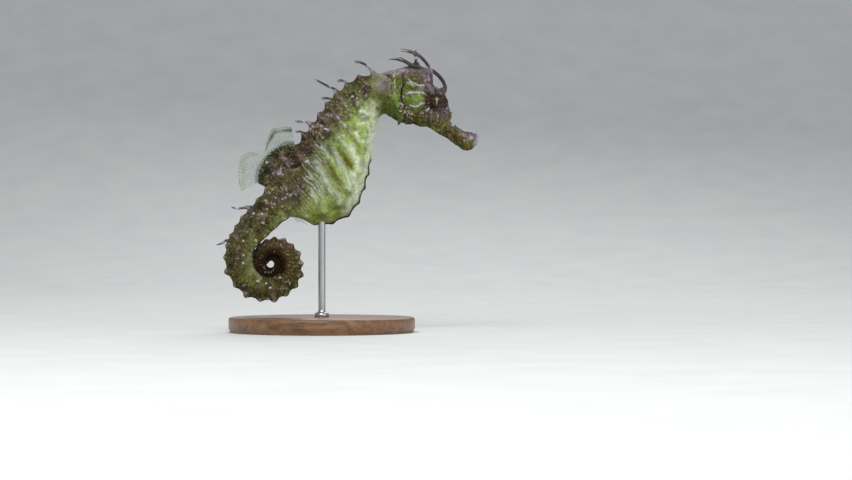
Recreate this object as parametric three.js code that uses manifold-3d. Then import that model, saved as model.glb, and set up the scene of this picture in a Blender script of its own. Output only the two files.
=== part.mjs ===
// A female long-snouted seahorse, Hippocampus guttulatus, at life size, swimming upright with a coiled
// tail, held by a plain display stand.
//
// Millimetres, +Z up, +X towards the snout, and the animal's right side faces -Y. The middle plane is
// Y = 0. The origin is the middle of the underside of the stand's base.

import * as THREE from "three";
import { mergeVertices } from "three/addons/utils/BufferGeometryUtils.js";
import Module from "manifold-3d";

const wasm = await Module();
wasm.setup();

// ---- Driving dimensions ----

const GAP = 0.3; // clearance between neighbouring pieces

// The body is a row of ribs in the middle plane. Each rib runs from the back to the belly, and is given
// by its number, the places of its two ends and the body's half width there. Ribs -13 to 0 are the
// snout and head. Bony rings follow: one from each whole number to the next, 1 to 11 on the trunk.
const BODY_RIBS = [
  // number, back x, back z, belly x, belly z, half width
  [-13, 52.0, 65.2, 51.5, 62.3, 1.1], // lips
  [-12, 51.2, 66.1, 49.5, 60.7, 1.8],
  [-11, 49.3, 66.5, 47.2, 60.5, 2.1],
  [-10, 47.0, 67.1, 45.0, 62.0, 1.9],
  [-9, 44.7, 68.7, 42.0, 64.2, 1.8], // middle of the snout
  [-8, 42.7, 70.2, 38.7, 66.1, 2.1],
  [-7, 42.7, 72.7, 35.5, 68.1, 3.2],
  [-6, 41.7, 77.0, 32.5, 68.7, 4.2], // eyes
  [-5, 40.3, 80.3, 30.3, 69.3, 4.9],
  [-4, 37.2, 82.3, 28.7, 69.5, 5.2],
  [-3, 36.3, 86.7, 27.0, 69.7, 5.4], // forehead and cheeks
  [-2, 31.3, 88.7, 25.0, 70.3, 5.4],
  [-1, 25.7, 87.7, 22.7, 71.7, 5.1],
  [0, 20.7, 86.5, 20.5, 72.5, 4.8], // nape and throat
  [1.5, 12.3, 85.0, 18.3, 69.3, 4.8],
  [3.5, 4.6, 79.4, 16.8, 62.0, 5.7],
  [5.5, -1.1, 72.5, 15.5, 53.0, 6.6],
  [7.5, -6.3, 66.0, 12.3, 43.3, 6.8], // deepest ring
  [8.5, -9.2, 61.7, 8.8, 38.8, 6.6],
  [9.5, -12.7, 57.3, 3.3, 36.3, 6.1],
  [10.5, -16.0, 52.7, -2.8, 35.8, 5.4],
  [11.5, -18.5, 47.8, -8.0, 38.0, 4.7], // first ring of the tail
  [12.5, -21.3, 44.2, -11.7, 37.5, 4.3],
  [14.5, -26.5, 38.3, -18.5, 31.8, 3.9],
];

// From here the tail is a flat spiral that shrinks by the same share with every turn.
const COIL_START = 16; // first rib of the coil
const TAIL_END = 50; // last rib, at the tip
const COIL_X = -16.8;
const COIL_Z = 23.0;
const COIL_RADIUS = 15.0; // to the back of the tail, where it passes straight behind the centre
const COIL_SHRINK = 0.43; // radius after one full turn
const COIL_START_ANGLE = 140; // degrees, from +X by way of +Z
const TAIL_FLATNESS = 0.42; // half width for each unit of depth
const COIL_HOLE = 1.25; // radius of the hole in the middle, inside the last turn
const TIP_TAPER_START = 47;
const TIP_THICKNESS = 0.55;
const COIL_CLEARANCE = 1.035; // inner radius of a turn, for each unit of the next turn's outer radius

// Sections, from the middle of the back to the middle of the belly at eight equal steps. Height is 1 at
// the back and 0 at the belly, width is 1 at the widest. The trunk has ridges at steps 1, 3, 5 and a
// keel at 7. The tail has ridges at steps 1 and 5.
const SECTIONS = {
  snout: {
    height: [1, 0.95, 0.81, 0.61, 0.39, 0.19, 0.05, 0],
    width: [0, 0.43, 0.78, 0.98, 0.98, 0.78, 0.43, 0],
  },
  head: {
    height: [1, 0.97, 0.84, 0.65, 0.45, 0.25, 0.07, 0],
    width: [0, 0.42, 0.72, 0.92, 1, 0.84, 0.4, 0],
  },
  trunk: {
    height: [0.95, 1, 0.8, 0.57, 0.36, 0.16, 0.05, 0],
    width: [0, 0.5, 0.78, 1, 0.92, 0.66, 0.27, 0],
  },
  tail: {
    height: [0.95, 1, 0.76, 0.5, 0.25, 0, 0.02, 0.03],
    width: [0, 0.88, 0.97, 1, 0.97, 0.88, 0.45, 0],
  },
};
const SECTION_PLACES = [[-13, "snout"], [-8.5, "snout"], [-6, "head"], [-0.5, "head"], [1.5, "trunk"],
  [10, "trunk"], [13, "tail"], [TAIL_END, "tail"]];
const STEPS = 7;

// Knobs on the ridges, at the middle of each ring.
const TRUNK_KNOB = 0.9;
const COIL_KNOB = 1.0;
const INNER_KNOB = 0.028; // for each unit of the coil's radius, on the turns that lie inside another
const BACK_GROOVE = 0.07; // share by which the body sinks between two rings
const BELLY_GROOVE = 0.03;

const EYE = { x: 38.5, y: 3.05, z: 76.5, radius: 2.65, socket: 2.95 };
const ORBIT = { radiusX: 3.75, radiusY: 2.6, radiusZ: 3.6, y: 3.0 };
const GILL_COVER = { x: 30.4, y: 3.4, z: 78.6, radiusX: 4.2, radiusY: 2.6, radiusZ: 5.6 };

const FIN_THICKNESS = 0.55;
const FIN_ROOT_WIDTH = 2.4;
const BASE_RADIUS = 31;
const BASE_HEIGHT = 5;
const BASE_BEVEL = 0.8;
const ROD_RADIUS = 1.2;
const ROD_DEPTH = 4; // how far the rod reaches into the belly

const SMALL_FEELER = 0.28; // tip radius of the thinnest feelers

// ---- The body's form ----

const clamp = (value) => Math.min(1, Math.max(0, value));
const mix = (from, to, share) => from + (to - from) * share;

function smooth(value) {
  const x = clamp(value);
  return x * x * (3 - 2 * x);
}

// The sum of smooth(x) from 0 to x.
function smoothSum(x) {
  if (x <= 0) return 0;
  return x < 1 ? x ** 3 - x ** 4 / 2 : x - 0.5;
}

// The angle of a coil rib, in degrees: rings take 11 degrees of the coil at first, then 21, then 26.
function coilAngle(rib) {
  const bend = 10 * 4.5 * smoothSum((rib - COIL_START) / 4.5);
  return COIL_START_ANGLE + 11 * (rib - COIL_START) + bend + 5 * 5 * smoothSum((rib - 31) / 5);
}

// The radius of the coil to the back of the tail.
const coilRadius = (angle) => COIL_RADIUS * COIL_SHRINK ** ((angle - 180) / 360);

function coilRib(rib) {
  const angle = coilAngle(rib);
  const radius = coilRadius(angle);
  const nextTurn = COIL_SHRINK * radius * COIL_CLEARANCE + GAP;
  const inner = mix(nextTurn, COIL_HOLE, smooth((angle + 360 - coilAngle(TAIL_END)) / 220));
  const taper = smooth((rib - TIP_TAPER_START) / (TAIL_END - TIP_TAPER_START));
  const depth = mix(radius - inner, TIP_THICKNESS, taper);
  const turn = THREE.MathUtils.degToRad(angle);
  const direction = new THREE.Vector2(Math.cos(turn), Math.sin(turn));
  const centre = new THREE.Vector2(COIL_X, COIL_Z);
  return {
    back: direction.clone().multiplyScalar(inner + depth).add(centre),
    belly: direction.clone().multiplyScalar(inner).add(centre),
    halfWidth: Math.max(TAIL_FLATNESS * depth, TIP_THICKNESS / 2),
  };
}

const toRow = (rib, { back, belly, halfWidth }) => [rib, back.x, back.y, belly.x, belly.y, halfWidth];
const COIL_ROWS = [COIL_START, COIL_START + 1, COIL_START + 2].map((rib) => toRow(rib, coilRib(rib)));
const RIB_ROWS = [...BODY_RIBS, ...COIL_ROWS];

// A smooth curve through the rows of ribs.
function curveValue(rows, rib, column) {
  let index = 0;
  while (index < rows.length - 2 && rows[index + 1][0] < rib) index += 1;
  const slope = (i) => {
    const before = rows[Math.max(0, i - 1)];
    const after = rows[Math.min(rows.length - 1, i + 1)];
    return (after[column] - before[column]) / (after[0] - before[0]);
  };
  const [start, end] = [rows[index], rows[index + 1]];
  const length = end[0] - start[0];
  const x = (rib - start[0]) / length;
  return (2 * x ** 3 - 3 * x ** 2 + 1) * start[column] + (x ** 3 - 2 * x ** 2 + x) * length * slope(index)
    + (3 * x ** 2 - 2 * x ** 3) * end[column] + (x ** 3 - x ** 2) * length * slope(index + 1);
}

function bodyRib(rib) {
  if (rib >= COIL_START) return coilRib(rib);
  const value = (column) => curveValue(RIB_ROWS, rib, column);
  return {
    back: new THREE.Vector2(value(1), value(2)),
    belly: new THREE.Vector2(value(3), value(4)),
    halfWidth: value(5),
  };
}

// A section's value at a step, which may lie between two whole steps: straight on the bony rings, and
// rounded on the snout and head.
function sectionValue(values, step, rounded) {
  const index = Math.min(STEPS - 1, Math.floor(step));
  const x = step - index;
  const straight = mix(values[index], values[index + 1], x);
  const before = values[Math.max(0, index - 1)];
  const after = values[Math.min(STEPS, index + 2)];
  const bulge = (values[index] + values[index + 1] - before - after) * 0.5 * x * (1 - x);
  return straight + bulge * rounded;
}

function sectionAt(rib, step) {
  let index = 0;
  while (index < SECTION_PLACES.length - 2 && SECTION_PLACES[index + 1][0] < rib) index += 1;
  const [start, startName] = SECTION_PLACES[index];
  const [end, endName] = SECTION_PLACES[index + 1];
  const share = smooth((rib - start) / (end - start));
  const rounded = clamp(0.5 - rib);
  const value = (key) => mix(sectionValue(SECTIONS[startName][key], step, rounded),
    sectionValue(SECTIONS[endName][key], step, rounded), share);
  return { height: value("height"), width: value("width") };
}

// 1 at the middle of a bony ring, 0 between two rings.
const ringCrest = (rib) => 0.5 - 0.5 * Math.cos(2 * Math.PI * rib);

// How far a knob stands out along the height and the width of the section.
function knob(rib, step) {
  const inTail = smooth((rib - 10.5) / 2);
  const inCoil = smooth((rib - COIL_START) / 3);
  const angle = coilAngle(Math.max(rib, COIL_START));
  const inside = smooth((angle - 410) / 90);
  const innerKnob = INNER_KNOB * coilRadius(angle);
  const largest = mix(mix(TRUNK_KNOB, COIL_KNOB, inCoil), innerKnob, inside);
  const size = largest * smooth(rib - 0.5) * ringCrest(rib);
  if (step === 1) return { height: mix(0.35, 0.85, inCoil) * size, width: 0.5 * size };
  if (step === 3) return { height: 0, width: 0.7 * size * (1 - inTail) };
  if (step === 5) return { height: 0, width: 0.8 * size };
  if (step === 7) return { height: -0.4 * size * (1 - inTail), width: 0 };
  return { height: 0, width: 0 };
}

// A point of the body's surface. Around goes from 0 at the back over the right side to 1 at the belly,
// and on to 2 over the left side. Grow moves the surface outwards, and reach 0 is the rib's middle.
function bodyPoint(rib, around, reach = 1, grow = 0) {
  const { back, belly, halfWidth } = bodyRib(rib);
  const side = around <= 1 ? -1 : 1;
  const step = (around <= 1 ? around : 2 - around) * STEPS;
  const section = sectionAt(rib, step);
  const rise = back.clone().sub(belly);
  const depth = rise.length();
  rise.normalize();
  const groove = mix(BELLY_GROOVE, BACK_GROOVE, smooth(section.height));
  const sink = 1 - groove * smooth(rib) * (1 - ringCrest(rib));
  const extra = knob(rib, Math.round(step * 100) / 100);
  const height = (section.height - 0.5) * (sink * depth + 2 * grow) + extra.height;
  const width = section.width * (halfWidth * sink + grow) + extra.width;
  const middle = belly.clone().addScaledVector(rise, 0.5 * depth);
  const place = middle.addScaledVector(rise, height * reach);
  return new THREE.Vector3(place.x, side * width * reach, place.y);
}

// ---- Making closed shapes ----

// Only positions are kept, and shared corners are merged, so that the shape is closed.
function closed(geometry) {
  geometry.deleteAttribute("normal");
  geometry.deleteAttribute("uv");
  const merged = mergeVertices(geometry, 1e-5);
  const position = merged.getAttribute("position");
  const index = Array.from(merged.index.array);
  let volume = 0;
  for (let i = 0; i < index.length; i += 3) {
    const corner = (at) => new THREE.Vector3().fromBufferAttribute(position, at);
    const [a, b, c] = index.slice(i, i + 3).map(corner);
    volume += a.dot(b.cross(c));
  }
  if (volume < 0) index.reverse();
  merged.setIndex(index);
  return merged;
}

// Moves every corner of a geometry by a function of its old place.
function shaped(geometry, place) {
  const position = geometry.getAttribute("position");
  const corner = new THREE.Vector3();
  for (let i = 0; i < position.count; i += 1) {
    corner.fromBufferAttribute(position, i);
    const { x, y, z } = place(corner.clone());
    position.setXYZ(i, x, y, z);
  }
  return closed(geometry);
}

function toSolid(geometry) {
  const vertProperties = new Float32Array(geometry.getAttribute("position").array);
  const triVerts = new Uint32Array(geometry.index.array);
  return new wasm.Manifold(new wasm.Mesh({ numProp: 3, vertProperties, triVerts }));
}

function toGeometry(solid) {
  const mesh = solid.getMesh();
  const geometry = new THREE.BufferGeometry();
  const places = new Float32Array(mesh.vertProperties);
  geometry.setAttribute("position", new THREE.BufferAttribute(places, mesh.numProp));
  geometry.setIndex(Array.from(mesh.triVerts));
  return closed(geometry);
}

// A closed length of the body, with four rows of corners to every two ribs.
function bodyLength(from, to, corners, grow = 0) {
  const ribs = [from];
  for (let rib = Math.floor(from * 2 + 1) / 2; rib < to - 0.05; rib += 0.5) {
    if (rib > from + 0.05) ribs.push(rib);
  }
  ribs.push(to);
  const cylinder = new THREE.CylinderGeometry(1, 1, 1, corners, ribs.length - 1);
  return shaped(cylinder, ({ x, y, z }) => {
    const row = Math.round((y + 0.5) * (ribs.length - 1));
    const turn = Math.round((Math.atan2(x, z) / Math.PI) * (corners / 2));
    const around = ((turn + corners) % corners) / (corners / 2);
    return bodyPoint(ribs[row], around, Math.min(1, Math.hypot(x, z)), grow);
  });
}

// Half of the clearance between two lengths of the body, in ribs.
function halfGap(rib) {
  const middle = (at) => bodyPoint(at, 0, 0);
  const spacing = middle(rib + 0.1).distanceTo(middle(rib - 0.1)) / 0.2;
  return (0.6 * GAP) / spacing;
}

// A round rod along a curve through hand-set points, thinner towards its tip.
function feeler(points, baseRadius, tipRadius = SMALL_FEELER, rows = 6) {
  const curve = new THREE.CatmullRomCurve3(points.map(([x, y, z]) => new THREE.Vector3(x, y, z)));
  const cylinder = new THREE.CylinderGeometry(1, 1, 1, 5, rows);
  return shaped(cylinder, ({ x, y, z }) => {
    const along = y + 0.5;
    const forward = curve.getTangentAt(along);
    const side = new THREE.Vector3(0, 1, 0).cross(forward).normalize();
    const over = forward.clone().cross(side);
    const radius = mix(baseRadius, tipRadius, Math.sqrt(along));
    return curve.getPointAt(along).addScaledVector(side, x * radius).addScaledVector(over, z * radius);
  });
}

// A spine: a six-sided cone from its root to its point.
function spine(root, tip, radius) {
  const start = new THREE.Vector3(...root);
  const rise = new THREE.Vector3(...tip).sub(start);
  const cone = new THREE.CylinderGeometry(0.15, radius, rise.length(), 6, 1);
  cone.translate(0, rise.length() / 2, 0);
  const upright = new THREE.Vector3(0, 1, 0);
  cone.applyQuaternion(new THREE.Quaternion().setFromUnitVectors(upright, rise.clone().normalize()));
  cone.translate(start.x, start.y, start.z);
  return closed(cone);
}

function ellipsoid(x, y, z, radiusX, radiusY, radiusZ, detail = 12) {
  const ball = new THREE.SphereGeometry(1, detail, detail / 2 + 2);
  ball.scale(radiusX, radiusY, radiusZ);
  ball.translate(x, y, z);
  return closed(ball);
}

// The same curve or point on the other side of the middle plane.
const mirrored = (points) => points.map(([x, y, z]) => [x, -y, z]);

// A fin between a root line and an edge line, each a row of points, as a thin closed sheet.
function fin(root, edge, columns, rows) {
  const rootLine = new THREE.CatmullRomCurve3(root.map((point) => new THREE.Vector3(...point)));
  const edgeLine = new THREE.CatmullRomCurve3(edge.map((point) => new THREE.Vector3(...point)));
  const point = (line, along) => line.getPoint(clamp(along));
  const surface = (along, out) => point(rootLine, along).lerp(point(edgeLine, along), out);
  const sheet = new THREE.BoxGeometry(1, 1, 1, columns, rows, 1);
  return shaped(sheet, ({ x, y, z }) => {
    const [along, out] = [x + 0.5, y + 0.5];
    const acrossFin = surface(along + 0.02, out).sub(surface(along - 0.02, out));
    const upFin = surface(along, 1).sub(surface(along, 0));
    const normal = acrossFin.cross(upFin).normalize();
    return surface(along, out).addScaledVector(normal, z * FIN_THICKNESS);
  });
}

// ---- Materials ----

function material(colour, roughness, metalness = 0) {
  return new THREE.MeshStandardMaterial({ color: colour, roughness, metalness });
}

const SKIN = () => material(0x6b6232, 0.55);
const BELLY_SKIN = () => material(0x93a04a, 0.55);
const FEELER_SKIN = () => material(0x33262a, 0.6);
const FIN_SKIN = () => material(0xb7c48f, 0.35);
const EYE_FINISH = () => material(0x2a1c10, 0.1);
const WOOD = () => material(0x8a6a48, 0.5);
const STEEL = () => material(0xb8b8b8, 0.3, 1);

// ---- The pieces ----

const seahorse = new THREE.Group();

function add(name, geometry, finish) {
  geometry.computeVertexNormals();
  const mesh = new THREE.Mesh(geometry, finish);
  mesh.name = name;
  seahorse.add(mesh);
}

// Borders between the lengths of the body.
const BORDERS = { snout: -7.5, nape: -0.5, neck: 2, chest: 6, vent: 11, tailBase: 16, tailBend: 22,
  firstCurl: 28, secondCurl: 34, thirdCurl: 41 };

const CORNERS = 14; // around the body: two for each step of the sections
const HEAD_CORNERS = 22;

function piece(from, to, corners = CORNERS) {
  const start = from === null ? -13 : from + halfGap(from);
  const end = to === null ? TAIL_END : to - halfGap(to);
  return toSolid(bodyLength(start, end, corners));
}

const join = (solid, shapes) => shapes.reduce((sum, shape) => sum.add(toSolid(shape)), solid);
const cut = (solid, shapes) => shapes.reduce((rest, shape) => rest.subtract(toSolid(shape)), solid);

// The head: orbits, gill covers and spines joined on, and sockets cut for the eyes.
const HEAD_SPINES = [
  { root: [37.2, 2.6, 79.6], tip: [41.0, 4.3, 80.4], radius: 1.4 }, // above the eye, carries a feeler
  { root: [35.2, 2.2, 80.6], tip: [36.6, 4.6, 81.6], radius: 1.1 }, // behind it
  { root: [34.5, 4.0, 73.4], tip: [36.2, 6.0, 72.4], radius: 0.9 }, // on the cheek
  { root: [26.5, 2.5, 72.0], tip: [25.3, 3.4, 68.9], radius: 1.0 }, // under the gill cover
  { root: [31.5, 1.4, 71.0], tip: [32.6, 2.2, 68.7], radius: 1.1 }, // under the jaw
  { root: [23.6, 3.0, 84.6], tip: [22.6, 5.0, 86.4], radius: 1.0 }, // behind the crown
];

// The crown: a low blunt cone with five points.
const CROWN = { x: 31.2, z: 88.7, height: 4, baseRadius: 3.4, topRadius: 2.3, reach: 2.9, slope: 0.4 };

function crown() {
  const top = (x, y) => [CROWN.x + x, y, CROWN.z - CROWN.slope * x];
  const cone = new THREE.CylinderGeometry(CROWN.topRadius, CROWN.baseRadius, CROWN.height, 10, 1);
  cone.rotateX(Math.PI / 2);
  const stump = shaped(cone, ({ x, y, z }) => {
    const [topX, topY, topZ] = top(x, y);
    return new THREE.Vector3(topX, topY, topZ - CROWN.height / 2 + z);
  });
  const points = [0, 1, 2, 3, 4].map((number) => {
    const angle = (number * 2 * Math.PI) / 5 + Math.PI;
    const [outX, outY] = [Math.cos(angle), Math.sin(angle)];
    const root = top(1.5 * outX, 1.5 * outY);
    const tip = top(CROWN.reach * outX, CROWN.reach * outY);
    return spine([root[0], root[1], root[2] - 0.8], [tip[0], tip[1], tip[2] + 0.7], 0.75);
  });
  return [stump, ...points];
}

const bothSides = (points) => [points, mirrored(points)];
const SIDES = [1, -1];

function headSpine({ root, tip, radius }, grow = 0) {
  const ends = bothSides([root, tip]);
  return ends.map(([start, end]) => spine(start, end, radius + grow));
}

function orbit(side) {
  return ellipsoid(EYE.x - 0.2, side * ORBIT.y, EYE.z, ORBIT.radiusX, ORBIT.radiusY, ORBIT.radiusZ);
}

function gillCover(side) {
  const { x, y, z, radiusX, radiusY, radiusZ } = GILL_COVER;
  return ellipsoid(x, side * y, z, radiusX, radiusY, radiusZ);
}

function eyeSocket(side) {
  return ellipsoid(EYE.x, side * EYE.y, EYE.z, EYE.socket, EYE.socket, EYE.socket);
}

function head() {
  const nose = spine([40.2, 0, 73.6], [43.3, 0, 73.5], 1.5);
  const forehead = spine([35.4, 0, 85.8], [36.5, 0, 87.8], 0.9);
  const spines = HEAD_SPINES.flatMap((size) => headSpine(size));
  const covers = [...SIDES.map(orbit), ...SIDES.map(gillCover)];
  const parts = [...covers, ...spines, nose, forehead, ...crown()];
  const snoutEnd = bodyLength(-12, BORDERS.snout + halfGap(BORDERS.snout), CORNERS);
  const neckStart = bodyLength(BORDERS.nape - halfGap(BORDERS.nape), 1, CORNERS);
  const whole = join(piece(BORDERS.snout, BORDERS.nape, HEAD_CORNERS), parts);
  return cut(whole, [snoutEnd, neckStart, ...SIDES.map(eyeSocket)]);
}

// Feelers on the rings of the body, by the length that they grow from.
const NECK_FEELERS = bothSides([[16.8, -2.2, 83.6], [16.6, -2.9, 86.8], [14.8, -3.2, 88.8],
  [12.8, -3.3, 89.8], [10.8, -3.3, 90.0]]);
const CHEST_FEELERS = [
  ...bothSides([[6.2, -2, 78.5], [4.5, -3.2, 80.6], [2.4, -3.6, 81.7], [0.1, -3.7, 82.9], [-2, -3.7, 84]]),
  ...bothSides([[8.6, -2, 81], [7.8, -3, 83.3], [6.4, -3.2, 83.8], [5.2, -3.2, 83.5]]),
  ...bothSides([[4.2, -2.2, 77], [2.9, -3.4, 77.6], [1.4, -3.6, 77.9], [-0.2, -3.6, 77.7]]),
];
const TRUNK_FEELERS = [
  ...bothSides([[-3, -2.4, 68], [-4.6, -3.6, 69.7], [-6.4, -3.8, 70.1], [-8.8, -3.8, 70.1]]),
  ...bothSides([[-4.6, -2.4, 65], [-5.8, -3.6, 66.2], [-7.1, -3.8, 66.8], [-8.8, -3.8, 66.6]]),
];
const TAIL_FEELERS = bothSides([[-22, -2.4, 41.2], [-24.9, -3.6, 41.4], [-27.2, -3.8, 41.2],
  [-28.6, -3.9, 41.1], [-29.9, -3.9, 41.7]]);
const BEND_FEELERS = bothSides([[-29.5, -2.4, 29.8], [-31.7, -3.2, 30.5], [-33.5, -3.5, 29.5],
  [-34.9, -3.6, 29]]);

// The root of the fin on the back: a wedge of muscle over the last rings of the trunk.
function finRoot() {
  const outline = new THREE.Shape();
  outline.moveTo(-6.5, 59.5);
  outline.lineTo(-9.0, 62.7);
  outline.quadraticCurveTo(-14.6, 62.6, -18.1, 58.6);
  outline.quadraticCurveTo(-21.6, 54.0, -21.2, 49.4);
  outline.lineTo(-18.4, 48.2);
  outline.lineTo(-10, 52);
  outline.closePath();
  const wedge = new THREE.ExtrudeGeometry(outline, { depth: FIN_ROOT_WIDTH, bevelThickness: 0.9,
    bevelSize: 0.5, bevelOffset: -0.4, bevelSegments: 1, curveSegments: 5 });
  wedge.rotateX(Math.PI / 2);
  wedge.translate(0, FIN_ROOT_WIDTH / 2, 0);
  return closed(wedge);
}

// The height of the belly's underside above the rod.
const BELLY_HEIGHT = bodyRib(10).belly.y;

function lowerTrunk() {
  const hole = new THREE.CylinderGeometry(ROD_RADIUS + GAP, ROD_RADIUS + GAP, 30, 12);
  hole.rotateX(Math.PI / 2);
  hole.translate(0, 0, BELLY_HEIGHT + ROD_DEPTH + GAP - 15);
  const tailBase = bodyLength(BORDERS.vent - halfGap(BORDERS.vent), BORDERS.tailBase, CORNERS);
  const whole = join(piece(BORDERS.chest, BORDERS.vent), [finRoot(), ...feelers(TRUNK_FEELERS, 0.45)]);
  return cut(whole, [tailBase, closed(hole)]);
}

const feelers = (list, radius) => list.map((path) => feeler(path, radius));
const eyeball = (side) => ellipsoid(EYE.x, side * EYE.y, EYE.z, EYE.radius, EYE.radius, EYE.radius, 14);

function withFeelers(from, to, list, radius) {
  return toGeometry(join(piece(from, to), feelers(list, radius)));
}

add("snout", toGeometry(piece(null, BORDERS.snout)), SKIN());
add("head", toGeometry(head()), SKIN());
add("eye_right", eyeball(-1), EYE_FINISH());
add("eye_left", eyeball(1), EYE_FINISH());
add("neck", withFeelers(BORDERS.nape, BORDERS.neck, NECK_FEELERS, 0.55), SKIN());
add("trunk_upper", withFeelers(BORDERS.neck, BORDERS.chest, CHEST_FEELERS, 0.5), BELLY_SKIN());
add("trunk_lower", toGeometry(lowerTrunk()), BELLY_SKIN());
add("tail_base", withFeelers(BORDERS.vent, BORDERS.tailBase, TAIL_FEELERS, 0.6), SKIN());
add("tail_bend", withFeelers(BORDERS.tailBase, BORDERS.tailBend, BEND_FEELERS, 0.55), SKIN());
add("tail_curl_1", toGeometry(piece(BORDERS.tailBend, BORDERS.firstCurl)), SKIN());
add("tail_curl_2", toGeometry(piece(BORDERS.firstCurl, BORDERS.secondCurl)), SKIN());
add("tail_curl_3", toGeometry(piece(BORDERS.secondCurl, BORDERS.thirdCurl)), SKIN());
add("tail_tip", toGeometry(piece(BORDERS.thirdCurl, null)), SKIN());

// Long feelers of the head, each a piece of its own, clear of the head by the gap.
const EYE_FEELER = [[41, -4.2, 80.2], [41, -4.4, 81.6], [40.4, -4.6, 83.4], [38.9, -4.8, 85.3],
  [36.5, -5, 87.4], [33.7, -5, 90.8], [31.5, -4.8, 92.6], [28.8, -4.5, 93.5], [26.1, -4.2, 94]];
const CROWN_FEELER = [[32.3, -2.6, 87.6], [29.8, -3.2, 88.6], [26.8, -3.4, 90], [24, -3.5, 90.6],
  [22.2, -3.5, 90.4]];
const CROWN_FEELER_LEFT = [[32, 2.6, 88], [29.6, 3.2, 89.6], [27.3, 3.4, 91], [25.6, 3.5, 91.8]];
const MIDDLE_FEELER = [[30.9, 0, 89], [31.4, 0, 91.1], [31, 0, 92.2], [29.8, 0, 93.1], [28.4, 0, 93.5]];

const grownSpines = HEAD_SPINES.flatMap((size) => headSpine(size, GAP));
const grownHead = join(toSolid(bodyLength(-8, 0, HEAD_CORNERS, GAP)), [...crown(), ...grownSpines]);

function headFeeler(name, path, radius) {
  const rod = toSolid(feeler(path, radius, SMALL_FEELER, 9));
  add(name, toGeometry(rod.subtract(grownHead)), FEELER_SKIN());
}

headFeeler("feeler_eye_right", EYE_FEELER, 0.5);
headFeeler("feeler_eye_left", mirrored(EYE_FEELER), 0.5);
headFeeler("feeler_crown_right", CROWN_FEELER, 0.5);
headFeeler("feeler_crown_left", CROWN_FEELER_LEFT, 0.5);
headFeeler("feeler_crown_middle", MIDDLE_FEELER, 0.4);

// The fin on the back. Its edge dips in the middle, where the sheet swings to the left.
const BACK_FIN_ROOT = [[-9.2, 0, 63.3], [-12.4, 0, 62.9], [-17.5, 0, 60], [-20.1, 0, 56.4],
  [-21.7, 0, 52.4], [-21.8, 0, 49.5]];
const BACK_FIN_EDGE = [[-10.1, -0.6, 68.5], [-14, -1.2, 68.3], [-16.7, -0.5, 67.6], [-18.4, 2.6, 64],
  [-19.6, 4, 60.6], [-23, 2.2, 60], [-26.7, -0.4, 59], [-27.7, -1.2, 54.7], [-27.8, -0.8, 50],
  [-27, -0.4, 46.8]];
add("dorsal_fin", fin(BACK_FIN_ROOT, BACK_FIN_EDGE, 20, 2), FIN_SKIN());

// The fins beside the neck, fanned back and out.
const SIDE_FIN_ROOT = [[22.4, -5.75, 84.2], [21.8, -5.95, 81.6], [21.9, -5.75, 79.0]];
const SIDE_FIN_EDGE = [[18.2, -8.2, 87.0], [16.2, -9.6, 82.6], [17.8, -8.6, 77.8]];
add("pectoral_fin_right", fin(SIDE_FIN_ROOT, SIDE_FIN_EDGE, 10, 2), FIN_SKIN());
add("pectoral_fin_left", fin(mirrored(SIDE_FIN_ROOT), mirrored(SIDE_FIN_EDGE), 10, 2), FIN_SKIN());

// The small fin behind the belly.
const VENT_FIN = { from: 11.15, to: 12.0, height: 2.2 };

function ventFinLine(distance) {
  return [0, 0.5, 1].map((share) => {
    const { back, belly } = bodyRib(mix(VENT_FIN.from, VENT_FIN.to, share));
    const place = belly.clone().addScaledVector(belly.clone().sub(back).normalize(), distance);
    return [place.x, 0, place.y];
  });
}

add("anal_fin", fin(ventFinLine(GAP), ventFinLine(GAP + VENT_FIN.height), 6, 2), FIN_SKIN());

// The stand: a turned disc and one upright rod.
const profile = [[0, 0], [BASE_RADIUS, 0], [BASE_RADIUS, BASE_HEIGHT - BASE_BEVEL],
  [BASE_RADIUS - BASE_BEVEL, BASE_HEIGHT], [0, BASE_HEIGHT]].map(([x, y]) => new THREE.Vector2(x, y));
const disc = new THREE.LatheGeometry(profile, 48);
disc.rotateX(Math.PI / 2);
add("stand_base", closed(disc), WOOD());

const rodHeight = BELLY_HEIGHT + ROD_DEPTH - BASE_HEIGHT - GAP;
const rod = new THREE.CylinderGeometry(ROD_RADIUS, ROD_RADIUS, rodHeight, 12);
rod.rotateX(Math.PI / 2);
rod.translate(0, 0, BASE_HEIGHT + GAP + rodHeight / 2);
add("stand_rod", closed(rod), STEEL());

export default seahorse;
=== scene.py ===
"""A female long-snouted seahorse at life size, on a plain display stand.

The flesh is one skin: a fine loft along the body's ribs, with its spines, crown, eye sockets, gill covers,
fin root and roots of feelers added and all of it run together. Its markings are worked out from the rib, the
place round the body, brush strokes seen from the side, and noise. Lengths are in millimetres until a mesh is
made. The animal faces +x, and its right side, which the photo shows, is -y.
"""

import math
from itertools import product

import bpy
import numpy as np
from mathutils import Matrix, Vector
from mathutils.kdtree import KDTree


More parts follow.
